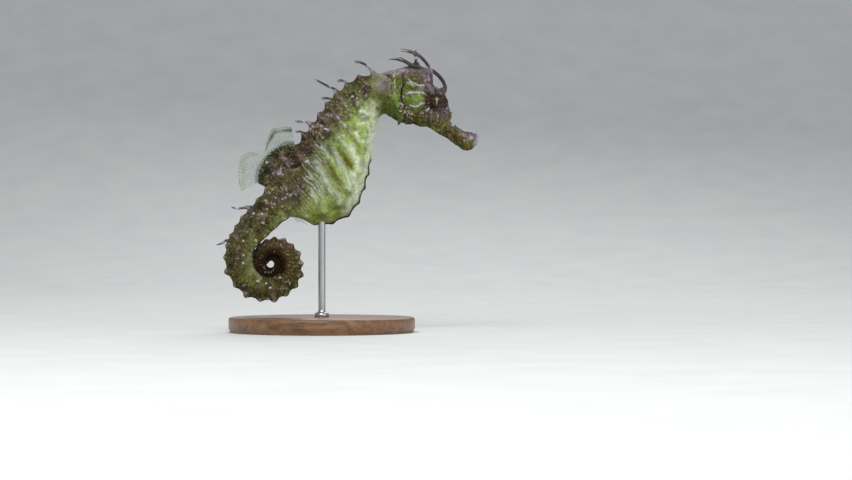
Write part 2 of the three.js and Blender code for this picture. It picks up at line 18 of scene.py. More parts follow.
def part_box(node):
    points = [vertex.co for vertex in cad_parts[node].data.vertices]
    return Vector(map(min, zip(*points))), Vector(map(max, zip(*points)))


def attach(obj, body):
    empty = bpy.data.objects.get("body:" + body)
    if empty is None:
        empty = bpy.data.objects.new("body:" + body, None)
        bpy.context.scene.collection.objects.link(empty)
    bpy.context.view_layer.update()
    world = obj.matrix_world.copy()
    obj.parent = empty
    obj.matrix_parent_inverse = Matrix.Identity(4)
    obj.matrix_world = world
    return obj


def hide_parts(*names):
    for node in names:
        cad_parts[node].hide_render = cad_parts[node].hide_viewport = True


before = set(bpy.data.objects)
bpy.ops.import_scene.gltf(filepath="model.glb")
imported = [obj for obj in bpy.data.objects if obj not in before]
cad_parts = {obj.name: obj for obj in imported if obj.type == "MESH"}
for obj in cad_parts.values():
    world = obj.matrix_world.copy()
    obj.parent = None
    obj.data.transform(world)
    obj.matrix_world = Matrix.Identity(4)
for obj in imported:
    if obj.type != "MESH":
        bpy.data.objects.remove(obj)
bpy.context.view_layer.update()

MM = 0.001
VOXEL = 0.16  # grid on which the skin's shapes are run together

# ---------------------------------------------------------------- small helpers


def part(value):
    """The value, kept from 0 to 1."""
    return np.clip(value, 0, 1)


def smooth(value):
    """A soft step: 0 below 0 and 1 above 1."""
    x = part(value)
    return x * x * (3 - 2 * x)


def above(value, low, rise):
    """0 below low, then rising softly to 1."""
    return smooth((value - low) / rise)


def below(value, high, fall):
    """0 above high, and rising softly to 1 under it."""
    return smooth((high - value) / fall)


def window(value, low, rise, high, fall):
    """0 below low and above high, and 1 well between them."""
    return above(value, low, rise) * below(value, high, fall)


def mix(a, b, share):
    return a + (b - a) * share


def bell(value):
    return np.exp(-np.square(value))


def unit(v):
    v = np.asarray(v, float)
    return v / np.maximum(np.linalg.norm(v, axis=-1, keepdims=True), 1e-12)


def angle_from(axis, directions):
    """Degrees between an axis and each direction, all of length 1."""
    return np.degrees(np.arccos(np.clip(directions @ axis, -1, 1)))


def circle(corners):
    """Angles of points evenly round a circle."""
    return np.arange(corners) * 2 * np.pi / corners


def mirrored(points):
    return [(x, -y, z) for x, y, z in points]


def lattice(ix, iy, iz, seed):
    """A random number from 0 to 1 for each cell of a grid."""
    n = ix * 73856093 ^ iy * 19349663 ^ iz * 83492791 ^ seed * 2654435761
    n = (n ^ (n >> 13)) * 1274126177
    n = (n ^ (n >> 16)) & 0xFFFFFF
    return n / float(0xFFFFFF)


def noise(points, size, seed=0):
    """Smooth noise from -1 to 1 with features about size mm across."""
    p = points / size + 31.7 * (seed + 1)
    cell = np.floor(p).astype(np.int64)
    f = smooth(p - cell)
    total = 0
    for dx, dy, dz in product((0, 1), repeat=3):
        weight = np.abs(1 - dx - f[:, 0]) * np.abs(1 - dy - f[:, 1]) * np.abs(1 - dz - f[:, 2])
        total = total + weight * lattice(cell[:, 0] + dx, cell[:, 1] + dy, cell[:, 2] + dz, seed)
    return total * 2 - 1


def rough(points, size, seed=0):
    """Two sizes of noise together."""
    return 0.65 * noise(points, size, seed) + 0.35 * noise(points, size * 0.45, seed + 50)


def strewn(points, spacing, shift, seed):
    """Places strewn at random, one in each cell of a grid. For each of the 27 cells round a point, this gives
    the cell and the distance in mm to its place."""
    p = points / spacing + shift * (seed + 1)
    middle = np.floor(p).astype(np.int64)
    for away in product((-1, 0, 1), repeat=3):
        cell = middle + away
        place = np.stack([lattice(*cell.T, seed + k) for k in (1, 2, 3)], 1)
        yield cell.T, np.linalg.norm(p - cell - place, axis=1) * spacing


def dots(points, spacing, radius, share, seed):
    """1 in the middle of round dots strewn at random, 0 outside. Share is how many cells hold a dot."""
    best = np.zeros(len(points))
    for cell, away in strewn(points, spacing, 17.3, seed):
        size = radius * (0.6 + 0.7 * lattice(*cell, seed + 4))
        there = lattice(*cell, seed + 5) < share
        best = np.maximum(best, np.where(there, smooth(1.35 - away / size), 0))
    return best


def network(points, spacing, seed):
    """Distance in mm to the border between random cells about as wide as the spacing."""
    first = second = np.full(len(points), 9.0 * spacing)
    for _, away in strewn(points, spacing, 23.1, seed):
        second = np.minimum(second, np.maximum(first, away))
        first = np.minimum(first, away)
    return (second - first) / 2


def hermite(x, a, slope_a, b, slope_b, length=1):
    """A cubic from a to b with a slope at each end, for x from 0 to 1 of the length."""
    return ((2 * x**3 - 3 * x**2 + 1) * a + (x**3 - 2 * x**2 + x) * length * slope_a
            + (3 * x**2 - 2 * x**3) * b + (x**3 - x**2) * length * slope_b)


def curve(points, u):
    """Places along a centripetal Catmull-Rom curve through points, for u from 0 to 1."""
    p = np.asarray(points, float)
    p = np.vstack([2 * p[0] - p[1], p, 2 * p[-1] - p[-2]])
    u = part(np.asarray(u, float)) * (len(p) - 3)
    i = np.minimum(np.floor(u).astype(int), len(p) - 4)
    p0, p1, p2, p3 = p[i], p[i + 1], p[i + 2], p[i + 3]
    d0, d1, d2 = (np.linalg.norm(b - a, axis=1)[:, None] ** 0.5 for a, b in ((p0, p1), (p1, p2), (p2, p3)))
    slope_1 = ((p1 - p0) / d0 - (p2 - p0) / (d0 + d1) + (p2 - p1) / d1) * d1
    slope_2 = ((p2 - p1) / d1 - (p3 - p1) / (d1 + d2) + (p3 - p2) / d2) * d1
    return hermite((u - i)[:, None], p1, slope_1, p2, slope_2)


def near_line(points, line):
    """Distance from each point to a line of short stretches, in the plane or in space."""
    line = np.asarray(line, float)
    best = np.full(len(points), 1e9)
    for a, b in zip(line[:-1], line[1:]):
        d = b - a
        share = part(((points - a) @ d) / (d @ d))
        best = np.minimum(best, np.linalg.norm(points - a - share[:, None] * d, axis=1))
    return best


def grid_faces(rows, cols, wrap):
    """Four-sided faces over rows of points; wrap joins the last column to the first."""
    i = np.arange(rows - 1)[:, None] * cols
    j = np.arange(cols if wrap else cols - 1)[None, :]
    k = (j + 1) % cols
    return np.stack([i + j, i + k, i + k + cols, i + j + cols], -1).reshape(-1, 4).tolist()


class Shell:
    """Closed shapes gathered in one list of points and faces."""

    def __init__(self):
        self.points, self.faces, self.count = [], [], 0

    def add(self, points, faces):
        self.faces += [[n + self.count for n in face] for face in faces]
        self.points.append(np.asarray(points, float))
        self.count += len(points)

    def add_rings(self, rings):
        """A closed shape through rings of points, with its two ends shut by a fan."""
        rings = np.asarray(rings, float)
        rows, cols = rings.shape[:2]
        points = np.vstack([rings.reshape(-1, 3), rings[0].mean(0), rings[-1].mean(0)])
        faces = grid_faces(rows, cols, True)
        last = (rows - 1) * cols
        for j in range(cols):
            k = (j + 1) % cols
            faces.append([k, j, rows * cols])
            faces.append([last + j, last + k, rows * cols + 1])
        self.add(points, faces)

    def mesh(self, name):
        mesh = bpy.data.meshes.new(name)
        mesh.from_pydata((np.vstack(self.points) * MM).tolist(), [], self.faces)
        mesh.update()
        return mesh


def add_object(name, data):
    thing = bpy.data.objects.new(name, data)
    bpy.context.scene.collection.objects.link(thing)
    return thing


def smooth_object(mesh, name, material):
    """An object from a mesh, shaded smooth."""
    mesh.materials.append(material)
    mesh.polygons.foreach_set("use_smooth", np.ones(len(mesh.polygons), bool))
    return add_object(name, mesh)


def put(mesh, name, material, replaces=()):
    """A piece of the model, riding on the one body."""
    thing = smooth_object(mesh, name, material)
    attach(thing, "root")
    if replaces:
        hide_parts(*replaces)


def get_points(mesh):
    co = np.zeros(len(mesh.vertices) * 3, np.float32)
    mesh.vertices.foreach_get("co", co)
    return co.reshape(-1, 3).astype(float) / MM


def set_points(mesh, points):
    mesh.vertices.foreach_set("co", (points * MM).astype(np.float32).ravel())
    mesh.update()


def get_normals(mesh):
    normals = np.zeros(len(mesh.vertices) * 3, np.float32)
    mesh.vertex_normals.foreach_get("vector", normals)
    return normals.reshape(-1, 3).astype(float)


def write_value(mesh, name, values):
    attribute = mesh.attributes.new(name, "FLOAT", "POINT")
    attribute.data.foreach_set("value", np.asarray(values, np.float32))


def write_colour(mesh, name, colours):
    attribute = mesh.attributes.new(name, "FLOAT_COLOR", "POINT")
    rgba = np.ones((len(colours), 4), np.float32)
    rgba[:, :3] = colours
    attribute.data.foreach_set("color", rgba.ravel())


def srgb(r, g, b):
    """A linear colour from sRGB numbers up to 255."""
    c = np.array([r, g, b], float) / 255
    return np.where(c <= 0.04045, c / 12.92, ((c + 0.055) / 1.055) ** 2.4)


class Coat:
    """The colours of some points, laid on in layers. A colour is linear, or a tuple of sRGB numbers."""

    def __init__(self, base, count):
        self.rgb = np.tile(self.linear(base), (count, 1))

    @staticmethod
    def linear(colour):
        return srgb(*colour) if isinstance(colour, tuple) else colour

    def lay(self, colour, mask):
        self.rgb = mix(self.rgb, self.linear(colour), part(mask)[:, None])

    def scale(self, share):
        self.rgb = self.rgb * share[:, None]


# ---------------------------------------------------------------- the body's form

# Ribs in the middle plane: number, back x and z, belly x and z, half width. Rings of bone start at rib 1.
BODY_RIBS = [
    (-13, 52, 65.2, 51.5, 62.3, 1.1), (-12, 51.2, 66.1, 49.5, 60.7, 1.8),
    (-11, 49.3, 66.5, 47.2, 60.5, 2.1), (-10, 47, 67.1, 45, 62, 1.9), (-9, 44.7, 68.7, 42, 64.2, 1.8),
    (-8, 42.7, 70.2, 38.7, 66.1, 2.1), (-7, 42.7, 72.7, 35.5, 68.1, 3.2), (-6, 41.7, 77, 32.5, 68.7, 4.2),
    (-5, 40.3, 80.3, 30.3, 69.3, 4.9), (-4, 37.2, 82.3, 28.7, 69.5, 5.2), (-3, 36.3, 86.7, 27, 69.7, 5.4),
    (-2, 31.3, 88.7, 25, 70.3, 5.4), (-1, 25.7, 87.7, 22.7, 71.7, 5.1), (0, 20.7, 86.5, 20.5, 72.5, 4.8),
    (1.5, 12.3, 85, 18.3, 69.3, 4.8), (3.5, 4.6, 79.4, 16.8, 62, 5.7), (5.5, -1.1, 72.5, 15.5, 53, 6.6),
    (7.5, -6.3, 66, 12.3, 43.3, 6.8), (8.5, -9.2, 61.7, 8.8, 38.8, 6.6), (9.5, -12.7, 57.3, 3.3, 36.3, 6.1),
    (10.5, -16, 52.7, -2.8, 35.8, 5.4), (11.5, -18.5, 47.8, -8, 38, 4.7),
    (12.5, -21.3, 44.2, -11.7, 37.5, 4.3), (14.5, -26.5, 38.3, -18.5, 31.8, 3.9),
]
COIL_START, TAIL_END = 16, 50
COIL_X, COIL_Z, COIL_RADIUS, COIL_SHRINK = -16.8, 23.0, 15.0, 0.43
COIL_GAP, COIL_HOLE, COIL_TUCK = 0.2, 0.95, 0.28  # the tip is drawn in by the last
SECTIONS = {  # height and width of the section at eight steps from the back to the belly
    "snout": ([1, 0.95, 0.81, 0.61, 0.39, 0.19, 0.05, 0], [0, 0.43, 0.78, 0.98, 0.98, 0.78, 0.43, 0]),
    "head": ([1, 0.97, 0.84, 0.65, 0.45, 0.25, 0.07, 0], [0, 0.42, 0.72, 0.92, 1, 0.84, 0.4, 0]),
    "trunk": ([0.95, 1, 0.8, 0.57, 0.36, 0.16, 0.05, 0], [0, 0.5, 0.78, 1, 0.92, 0.66, 0.27, 0]),
    "tail": ([0.95, 1, 0.76, 0.5, 0.25, 0, 0.02, 0.03], [0, 0.88, 0.97, 1, 0.97, 0.88, 0.45, 0]),
    "coil": ([0.95, 1, 0.76, 0.5, 0.2, -0.13, -0.02, 0.03], [0, 0.84, 0.96, 1, 1, 0.94, 0.5, 0]),
}
SECTION_PLACES = [(-13, "snout"), (-8.5, "snout"), (-6, "head"), (-0.5, "head"), (1.5, "trunk"),
                  (10, "trunk"), (13, "tail"), (15.5, "tail"), (18.5, "coil"), (50, "coil")]
EYE_X, EYE_Y, EYE_Z, EYE_RADIUS = 38.5, 3.05, 76.5, 2.65


def smooth_sum(x):
    """The sum of smooth(x) from 0 to x."""
    return np.where(x <= 0, 0, np.where(x < 1, x**3 - x**4 / 2, x - 0.5))


def coil_angle(t):
    """Degrees round the coil at each rib: ribs come closer together towards the tip."""
    t = np.asarray(t, float)
    return 140 + 11 * (t - 16) + 45 * smooth_sum((t - 16) / 4.5) + 25 * smooth_sum((t - 31) / 5)


def coil_radius(angle):
    return COIL_RADIUS * COIL_SHRINK ** ((angle - 180) / 360)


def tucked_radius(angle):
    """Radius of the coil's outer side, with the tip drawn in."""
    return coil_radius(angle) * (1 - COIL_TUCK * smooth((angle - coil_angle(TAIL_END) + 200) / 200))


def coil_rows(t):
    """Ribs of the coil: each turn's inner side lies on the outer side of the next turn."""
    angle, end = coil_angle(t), coil_angle(TAIL_END)
    radius = tucked_radius(angle)
    inner = tucked_radius(np.minimum(angle + 360, end)) * 1.02 + COIL_GAP
    inner = mix(inner, COIL_HOLE, smooth((angle + 360 - end) / 220))
    depth = (radius - inner) * np.sqrt(1 - 0.9 * part((t - 47.8) / 2.2) ** 2)
    inner = inner + (radius - inner - depth) / 2
    c, s = np.cos(np.radians(angle)), np.sin(np.radians(angle))
    out = inner + depth
    return np.stack([COIL_X + c * out, COIL_Z + s * out, COIL_X + c * inner, COIL_Z + s * inner,
                     np.maximum(0.42 * np.minimum(depth, 0.55 * radius), 0.3)], 1)


COIL_FIRST = np.array([16.0, 17.0, 18.0])
RIBS = np.vstack([np.array(BODY_RIBS), np.column_stack([COIL_FIRST, coil_rows(COIL_FIRST)])])


def ribs_at(t):
    """Back x and z, belly x and z and half width at each rib number."""
    t = np.asarray(t, float)
    at = RIBS[:, 0]
    before, after = np.r_[RIBS[:1], RIBS[:-1]], np.r_[RIBS[1:], RIBS[-1:]]
    slope = (after[:, 1:] - before[:, 1:]) / (after[:, :1] - before[:, :1])
    i = np.clip(np.searchsorted(at, t, side="right") - 1, 0, len(RIBS) - 2)
    length = (at[i + 1] - at[i])[:, None]
    x = (t - at[i])[:, None] / length
    values = hermite(x, RIBS[i, 1:], slope[i], RIBS[i + 1, 1:], slope[i + 1], length)
    return np.where((t >= COIL_START)[:, None], coil_rows(np.maximum(t, COIL_START)), values)


def section_table(step):
    """Height and width of each section at each step, as straight value and bulge."""
    i = np.minimum(np.floor(step).astype(int), 6)
    x = step - i
    table = []
    for heights_widths in SECTIONS.values():
        for values in heights_widths:
            v = np.array(values, float)
            straight = mix(v[i], v[i + 1], x)
            bulge = (v[i] + v[i + 1] - v[np.maximum(i - 1, 0)] - v[np.minimum(i + 2, 7)]) * 0.5 * x * (1 - x)
            table.append((straight, bulge))
    return np.array(table).reshape(len(SECTIONS), 2, 2, -1)


def section_shares(t):
    """How much of each section is in the body at each rib number."""
    names, places = list(SECTIONS), [p[0] for p in SECTION_PLACES]
    i = np.clip(np.searchsorted(places, t, side="right") - 1, 0, len(places) - 2)
    start, end = np.array(places, float)[i], np.array(places, float)[i + 1]
    share = smooth((t - start) / (end - start))
    which = np.array([names.index(p[1]) for p in SECTION_PLACES])
    shares = np.zeros((len(t), len(names)))
    np.add.at(shares, (np.arange(len(t)), which[i]), 1 - share)
    np.add.at(shares, (np.arange(len(t)), which[i + 1]), share)
    return shares


def ring_crest(t):
    """1 in the middle of each ring of bone, 0 between rings."""
    return 0.5 - 0.5 * np.cos(2 * np.pi * t)


def ring_middle(t):
    """How far a rib is from the middle of its ring, in ribs."""
    return np.abs(t - np.floor(t) - 0.5)


# How big the knobs of each ring are: small on the root of the tail, big and small by turns on the coil.
KNOB_SIZES = np.r_[np.ones(11), np.full(8, 0.6), 1, 0.6, 1, 0.6, 1, 0.65, 0.85, 1, 0.6, 0.9, 0.55, 0.85,
                   0.85, 0.8, np.ones(18)]


def knob_sizes(t):
    return KNOB_SIZES[np.clip(np.floor(t), 0, len(KNOB_SIZES) - 1).astype(int)]


def body_surface(t, step, side, spans=None):
    """Points of the skin and their height from the belly, for rib numbers t (rows) and steps round (columns).
    It has knobs where spans are given: the length in mm of one rib and of one step, at each point."""
    rows = ribs_at(t)
    back, belly, half = rows[:, 0:2], rows[:, 2:4], rows[:, 4][:, None]
    rise = back - belly
    depth = np.linalg.norm(rise, axis=1)[:, None]
    rise = rise / depth
    table, shares = section_table(step), section_shares(t)
    straight, bulge = np.einsum("nk,kvbm->vbnm", shares, table).transpose(1, 0, 2, 3)
    rounded = mix(0.25, 1, part(0.5 - t))[:, None]
    height, width = straight[0] + bulge[0] * rounded, straight[1] + bulge[1] * rounded

    crest = ring_crest(t)[:, None]
    groove = mix(0.03, 0.07, smooth(height)) * (smooth(t) * (1 - 0.6 * above(t, 14, 6)))[:, None]
    sink = 1 - groove * (1 - crest)
    up = (height - 0.5) * sink * depth
    out = width * half * sink
    if spans is not None:
        in_tail, in_coil = above(t, 10.5, 2)[:, None], above(t, 16, 3)[:, None]
        angle = coil_angle(np.maximum(t, 16))
        inside = above(angle, 410, 90)[:, None]
        size = mix(mix(0.95, 1.1, in_coil), 0.028 * coil_radius(angle)[:, None], inside)
        size = size * smooth(t - 0.5)[:, None] * knob_sizes(t)[:, None]
        away = ring_middle(t)[:, None] * spans[0]

        def knob(ridge):
            reach = np.minimum(1.5, 0.38 * spans[0])
            centred = part(1 - np.hypot(away, (step - ridge) * spans[1]) / reach)
            return size * mix(centred**1.2, (centred * (2 - centred)) ** 1.5, in_coil)

        up = up + mix(0.45, 0.95, in_coil) * knob(1) - 0.45 * (1 - in_tail) * knob(7)
        out = out + 0.55 * knob(1) + 0.9 * (1 - in_tail) * knob(3) + 0.85 * knob(5)
    middle = belly + rise * depth * 0.5
    points = np.empty((len(t), len(step), 3))
    points[:, :, 0] = middle[:, :1] + rise[:, :1] * up
    points[:, :, 2] = middle[:, 1:] + rise[:, 1:] * up
    points[:, :, 1] = side * out
    return points, height


def spans_of(points, t):
    """The length in mm of one rib and of one step at each point of the loft."""
    one_rib = np.linalg.norm(np.gradient(points, t, axis=0), axis=2)
    one_step = np.linalg.norm(np.roll(points, -1, 1) - np.roll(points, 1, 1), axis=2) * SIDE_STEPS / 14
    return one_rib, np.maximum(one_step, 0.2)


SIDE_STEPS = 84  # columns of the loft on each side, from the back to the belly
ROW_GAP = 0.24  # mm from row to row, along the body's middle line
around = np.arange(2 * SIDE_STEPS) / SIDE_STEPS
STEP = np.where(around <= 1, around, 2 - around) * 7
SIDE = np.where(around <= 1, -1.0, 1.0)

# The loft: rib numbers T of its rows, evenly along the middle line, and its points, with the knobs added.
fine = np.linspace(-13, TAIL_END, 6000)
mid = (ribs_at(fine)[:, 0:2] + ribs_at(fine)[:, 2:4]) / 2
run = np.r_[0, np.cumsum(np.linalg.norm(np.diff(mid, axis=0), axis=1))]
T = np.r_[np.interp(np.arange(0, run[-1], ROW_GAP), run, fine), TAIL_END]
SPANS = spans_of(body_surface(T, STEP, SIDE)[0], T)
BODY, HEIGHT = body_surface(T, STEP, SIDE, SPANS)

# ---------------------------------------------------------------- spines, crown, sockets, feelers

HEAD_SPINES = [  # root, tip, radius; both sides
    ((37.2, 2.6, 79.6), (41, 4.3, 80.4), 1.5), ((35.2, 2.2, 80.6), (36.6, 4.6, 81.6), 1.2),
    ((34.5, 4, 73.4), (36.2, 6, 72.4), 0.9), ((26.4, 2.3, 71.6), (25.3, 3, 68.8), 1.5),
    ((31.5, 1.4, 71), (32.6, 2.2, 68.7), 1.2), ((23.6, 3, 84.6), (22.6, 5, 86.4), 1.1),
]
MIDDLE_SPINES = [((40.4, 0, 71.7), (43.4, 0, 73.3), 1.75), ((35.2, 0, 85.6), (36.5, 0, 87.8), 1.0)]
CROWN_X, CROWN_Z, CROWN_SLOPE = 31.2, 88.7, 0.4

FEELERS = {  # on the body's right side: radius at the root, and points
    "neck": (0.55, [(16.8, -2.2, 83.6), (16.6, -2.9, 86.8), (14.8, -3.2, 88.8), (12.8, -3.3, 89.8),
                    (10.8, -3.3, 90)]),
    "chest_1": (0.55, [(6.2, -2, 78.5), (4.5, -3.2, 80.6), (2.4, -3.6, 81.7), (0.1, -3.7, 82.9),
                       (-2, -3.7, 84)]),
    "chest_2": (0.4, [(8.6, -2, 81), (7.8, -3, 83.3), (6.4, -3.2, 83.8), (5.2, -3.2, 83.5)]),
    "chest_3": (0.42, [(4.2, -2.2, 77), (2.9, -3.4, 77.6), (1.4, -3.6, 77.9), (-0.2, -3.6, 77.7)]),
    "trunk_1": (0.45, [(-3, -2.4, 68), (-4.6, -3.6, 69.7), (-6.4, -3.8, 70.1), (-8.8, -3.8, 70.1)]),
    "trunk_2": (0.4, [(-4.6, -2.4, 65), (-5.8, -3.6, 66.2), (-7.1, -3.8, 66.8), (-8.8, -3.8, 66.6)]),
    "tail": (0.6, [(-22, -2.4, 41.2), (-24.9, -3.6, 41.4), (-27.2, -3.8, 41.2), (-28.6, -3.9, 41.1),
                   (-29.9, -3.9, 41.7)]),
    "bend": (0.55, [(-29.5, -2.4, 29.8), (-31.7, -3.2, 30.5), (-33.5, -3.5, 29.5), (-34.9, -3.6, 29)]),
}
EYE_FEELER = [(39.6, -3.7, 80.1), (41, -4.3, 80.9), (40.9, -4.4, 82.2), (40.4, -4.6, 83.4),
              (38.9, -4.8, 85.3), (36.5, -5, 87.4), (33.7, -5, 90.8), (31.5, -4.8, 92.6),
              (28.8, -4.5, 93.5), (26.1, -4.2, 94)]
CROWN_FEELER = [(33.4, -1.9, 87.4), (32.3, -2.6, 87.9), (29.8, -3.2, 88.6), (26.8, -3.4, 90),
                (24, -3.5, 90.6), (22.2, -3.5, 90.4)]
EYE_SLEEVE = [(37.4, -2.7, 78.9), (38.9, -3.4, 79.7), (40.2, -3.95, 80.3), (40.95, -4.27, 80.85),
              (41.04, -4.33, 81.5)]
CROWN_FEELER_LEFT = [(32.6, 1.9, 87.6), (32, 2.6, 88), (29.6, 3.2, 89.6), (27.3, 3.4, 91), (25.6, 3.5, 91.8)]
MIDDLE_FEELER = [(30.7, 0, 88.2), (31.4, 0, 91.1), (31, 0, 92.2), (29.8, 0, 93.1), (28.4, 0, 93.5)]


def tube(points, radii, corners, flat=1.0):
    """Rings of points round a path."""
    forward = unit(np.gradient(points, axis=0))
    side = unit(np.cross((0.0, 1.0, 0.001), forward))
    over = np.cross(forward, side)
    turn = circle(corners)
    radii = np.asarray(radii)[:, None, None]
    return (points[:, None] + radii * np.cos(turn)[None, :, None] * side[:, None]
            + flat * radii * np.sin(turn)[None, :, None] * over[:, None])


ROOT_END = 0.42  # the share of a body feeler's length that its root in the skin takes up

shapes = Shell()  # all that the skin is made of
SPINES = []  # root, tip and radius of each, for the markings


def add_spine(root, tip, radius):
    """A cone with its sides curved in."""
    root, tip = np.array(root, float), np.array(tip, float)
    SPINES.append((root, tip, radius))
    along = np.linspace(0, 1, 14)
    shapes.add_rings(tube(root + (tip - root) * along[:, None], radius * (1 - along) ** 1.25 + 0.13, 14))


def add_ball(centre, radii, rows=28, cols=40):
    theta, phi = np.linspace(0.02, np.pi - 0.02, rows)[:, None], circle(cols)
    ball = np.stack([np.sin(theta) * np.cos(phi), np.cos(theta) + 0 * phi, np.sin(theta) * np.sin(phi)], -1)
    shapes.add_rings(np.array(centre) + ball * np.array(radii))


def bow(a, control, b):
    """A curved line from a almost to b, in the middle plane."""
    k = np.linspace(0, 1, 10, endpoint=False)[:, None]
    return (1 - k) ** 2 * np.array(a) + 2 * k * (1 - k) * np.array(control) + k**2 * np.array(b)


FIN_ROOT_TOP, FIN_ROOT_BEND, FIN_ROOT_END = (-9, 62.7), (-18.1, 58.6), (-21.2, 49.4)
FIN_ROOT_RIM = np.vstack([bow(FIN_ROOT_TOP, (-14.6, 62.6), FIN_ROOT_BEND),
                          bow(FIN_ROOT_BEND, (-21.6, 54), FIN_ROOT_END), [FIN_ROOT_END]])


def add_fin_root():
    """The muscle under the fin on the back, with its edges rounded."""
    outline = np.vstack([[(-6.5, 59.5)], FIN_ROOT_RIM, [(-18.4, 48.2), (-10, 52)]])
    middle = np.array([-13.5, 55.5])
    rings = []
    for turn in np.radians(np.linspace(-88, 88, 13)):
        shrink = 1 - 0.16 * (1 - math.cos(turn))
        ring = middle + (outline - middle) * shrink
        rings.append(np.column_stack([ring[:, 0], np.full(len(ring), 2.1 * math.sin(turn)), ring[:, 1]]))
    shapes.add_rings(rings)

# The loft's front end is the mouth: lips round a small hollow.
mouth = BODY[0].mean(0)
forward = unit(mouth - BODY[12].mean(0))
LIPS = [(0.1, -1.3), (0.35, -1.1), (0.5, -0.5), (0.62, 0.02), (0.76, 0.2), (0.9, 0.17), (0.97, 0.08)]
lip_rings = np.array([mouth + (BODY[0] - mouth) * reach + forward * out for reach, out in LIPS])
shapes.add_rings(np.concatenate([lip_rings, BODY]))
for side in (-1, 1):
    add_ball((EYE_X - 0.2, side * 3.0, EYE_Z), (3.75, 2.6, 3.6))  # the eye socket
    add_ball((30.4, side * 3.4, 78.6), (4.2, 2.5, 5.6))  # the gill cover
    for (rx, ry, rz), (x, y, z), radius in HEAD_SPINES:
        add_spine((rx, side * ry, rz), (x, side * y, z), radius)
    add_ball((28.6, side * 1.2, 70.6), (1.7, 1.2, 1.45), 14, 20)  # under the jaw
for root, tip, radius in MIDDLE_SPINES:
    add_spine(root, tip, radius)
add_ball((41.85, 0, 72.0), (1.35, 1.0, 1.5), 16, 24)  # the bump on the nose
add_ball((42.45, 0, 72.45), (0.8, 0.6, 0.9), 16, 24)
for path in (EYE_SLEEVE, mirrored(EYE_SLEEVE)):  # the skin round the roots of the feelers over the eyes
    u = np.linspace(0, 1, 20)
    shapes.add_rings(tube(curve(path, u), mix(1.7, 0.6, u**0.6), 14))
add_spine((31.2, 0, 86.6), (31.3, 0, 90.6), 3.9)  # in the middle of the crown
for side in (-1, 1):
    add_spine((17.7, side * 1.9, 84.4), (16.5, side * 2.75, 88.1), 1.9)  # under the neck's feelers


def on_crown(x, y, rise=0.0):
    """A place over the crown's sloping top, from its middle."""
    return np.stack([CROWN_X + x, y, CROWN_Z - CROWN_SLOPE * x + rise], -1)


crown_rings = []
turn = circle(40)
for level in np.linspace(0, 1, 9):
    radius = mix(3.5, 2.05, level**0.8) * (1 + 0.14 * level * np.cos(5 * (turn - np.pi)))
    crown_rings.append(on_crown(radius * np.cos(turn), radius * np.sin(turn), 4 * level - 4))
rim = crown_rings[-1]
for reach, sink in ((0.7, 0.15), (0.4, 0.55), (0.1, 0.75)):  # the cup in its top
    crown_rings.append(mix(rim.mean(0), rim, reach) - (0, 0, sink))
shapes.add_rings(crown_rings)
for turn in circle(5) + np.pi:
    c, s = np.cos(turn), np.sin(turn)
    add_spine(on_crown(1.3 * c, 1.3 * s, -1.0), on_crown(2.9 * c, 2.9 * s, 0.7), 0.95)
add_fin_root()
for radius, points in FEELERS.values():
    for path in (points, mirrored(points)):
        u = np.linspace(0, ROOT_END, 16)
        line = curve(path, u)
        shapes.add_rings(tube(line, radius * (0.62 + 1.1 * (1 - u / ROOT_END) ** 1.6), 12))
        SPINES.append((line[0], line[-1], radius))

# ---------------------------------------------------------------- one skin


def run_together(shell, voxel):
    """One closed mesh round all the shapes."""
    rough_mesh = shell.mesh("shapes")
    thing = add_object("shapes", rough_mesh)
    remesh = thing.modifiers.new("one", "REMESH")
    remesh.mode = "VOXEL"
    remesh.voxel_size = voxel * MM
    bpy.context.view_layer.update()
    made = bpy.data.meshes.new_from_object(thing.evaluated_get(bpy.context.evaluated_depsgraph_get()))
    bpy.data.objects.remove(thing)
    bpy.data.meshes.remove(rough_mesh)
    made.name = "seahorse_skin"
    return made


def relaxed(points, edges, rounds, share=0.5):
    """Each point moved towards the middle of its neighbours, some rounds over."""
    a, b = edges[:, 0], edges[:, 1]
    count = np.bincount(a, minlength=len(points)) + np.bincount(b, minlength=len(points))
    for _ in range(rounds):
        mean = np.empty_like(points)
        for k in range(3):
            total = np.bincount(a, points[b, k], len(points)) + np.bincount(b, points[a, k], len(points))
            mean[:, k] = total / count
        points = points + (mean - points) * share
    return points


skin = run_together(shapes, VOXEL)
edge_list = np.zeros(len(skin.edges) * 2, np.int32)
skin.edges.foreach_get("vertices", edge_list)
edge_list = edge_list.reshape(-1, 2)
P = relaxed(get_points(skin), edge_list, 2, 0.45)

# Each point's rib number t and step round the body, from the nearest place of the loft.
loft = BODY.reshape(-1, 3)
tree = KDTree(len(loft))
for n, point in enumerate(loft):
    tree.insert(point, n)
tree.balance()
nearest = np.array([tree.find(point)[1] for point in P])
row, col = np.divmod(nearest, BODY.shape[1])
along_t = np.gradient(BODY, T, axis=0).reshape(-1, 3)[nearest]
steps_round = (np.roll(BODY, -1, 1) - np.roll(BODY, 1, 1)).reshape(-1, 3)[nearest] / 2
off = P - loft[nearest]
on_loft = smooth((1.1 - np.linalg.norm(off, axis=1)) / 0.5)  # 0 on the hump, crown, spines and feelers
t = T[row] + np.clip((off * along_t).sum(1) / (along_t**2).sum(1), -0.2, 0.2)
turn_off = np.clip((off * steps_round).sum(1) / np.maximum((steps_round**2).sum(1), 1e-6), -1, 1)
step = np.abs(STEP[col] + np.where(col <= SIDE_STEPS, 1, -1) * turn_off * 7 / SIDE_STEPS)
step = np.clip(np.where(step > 7, 14 - step, step), 0, 7)  # 0 on the back, 7 on the belly
height = HEIGHT.reshape(-1)[nearest]
mm_rib, mm_step = SPANS[0].reshape(-1)[nearest], SPANS[1].reshape(-1)[nearest]

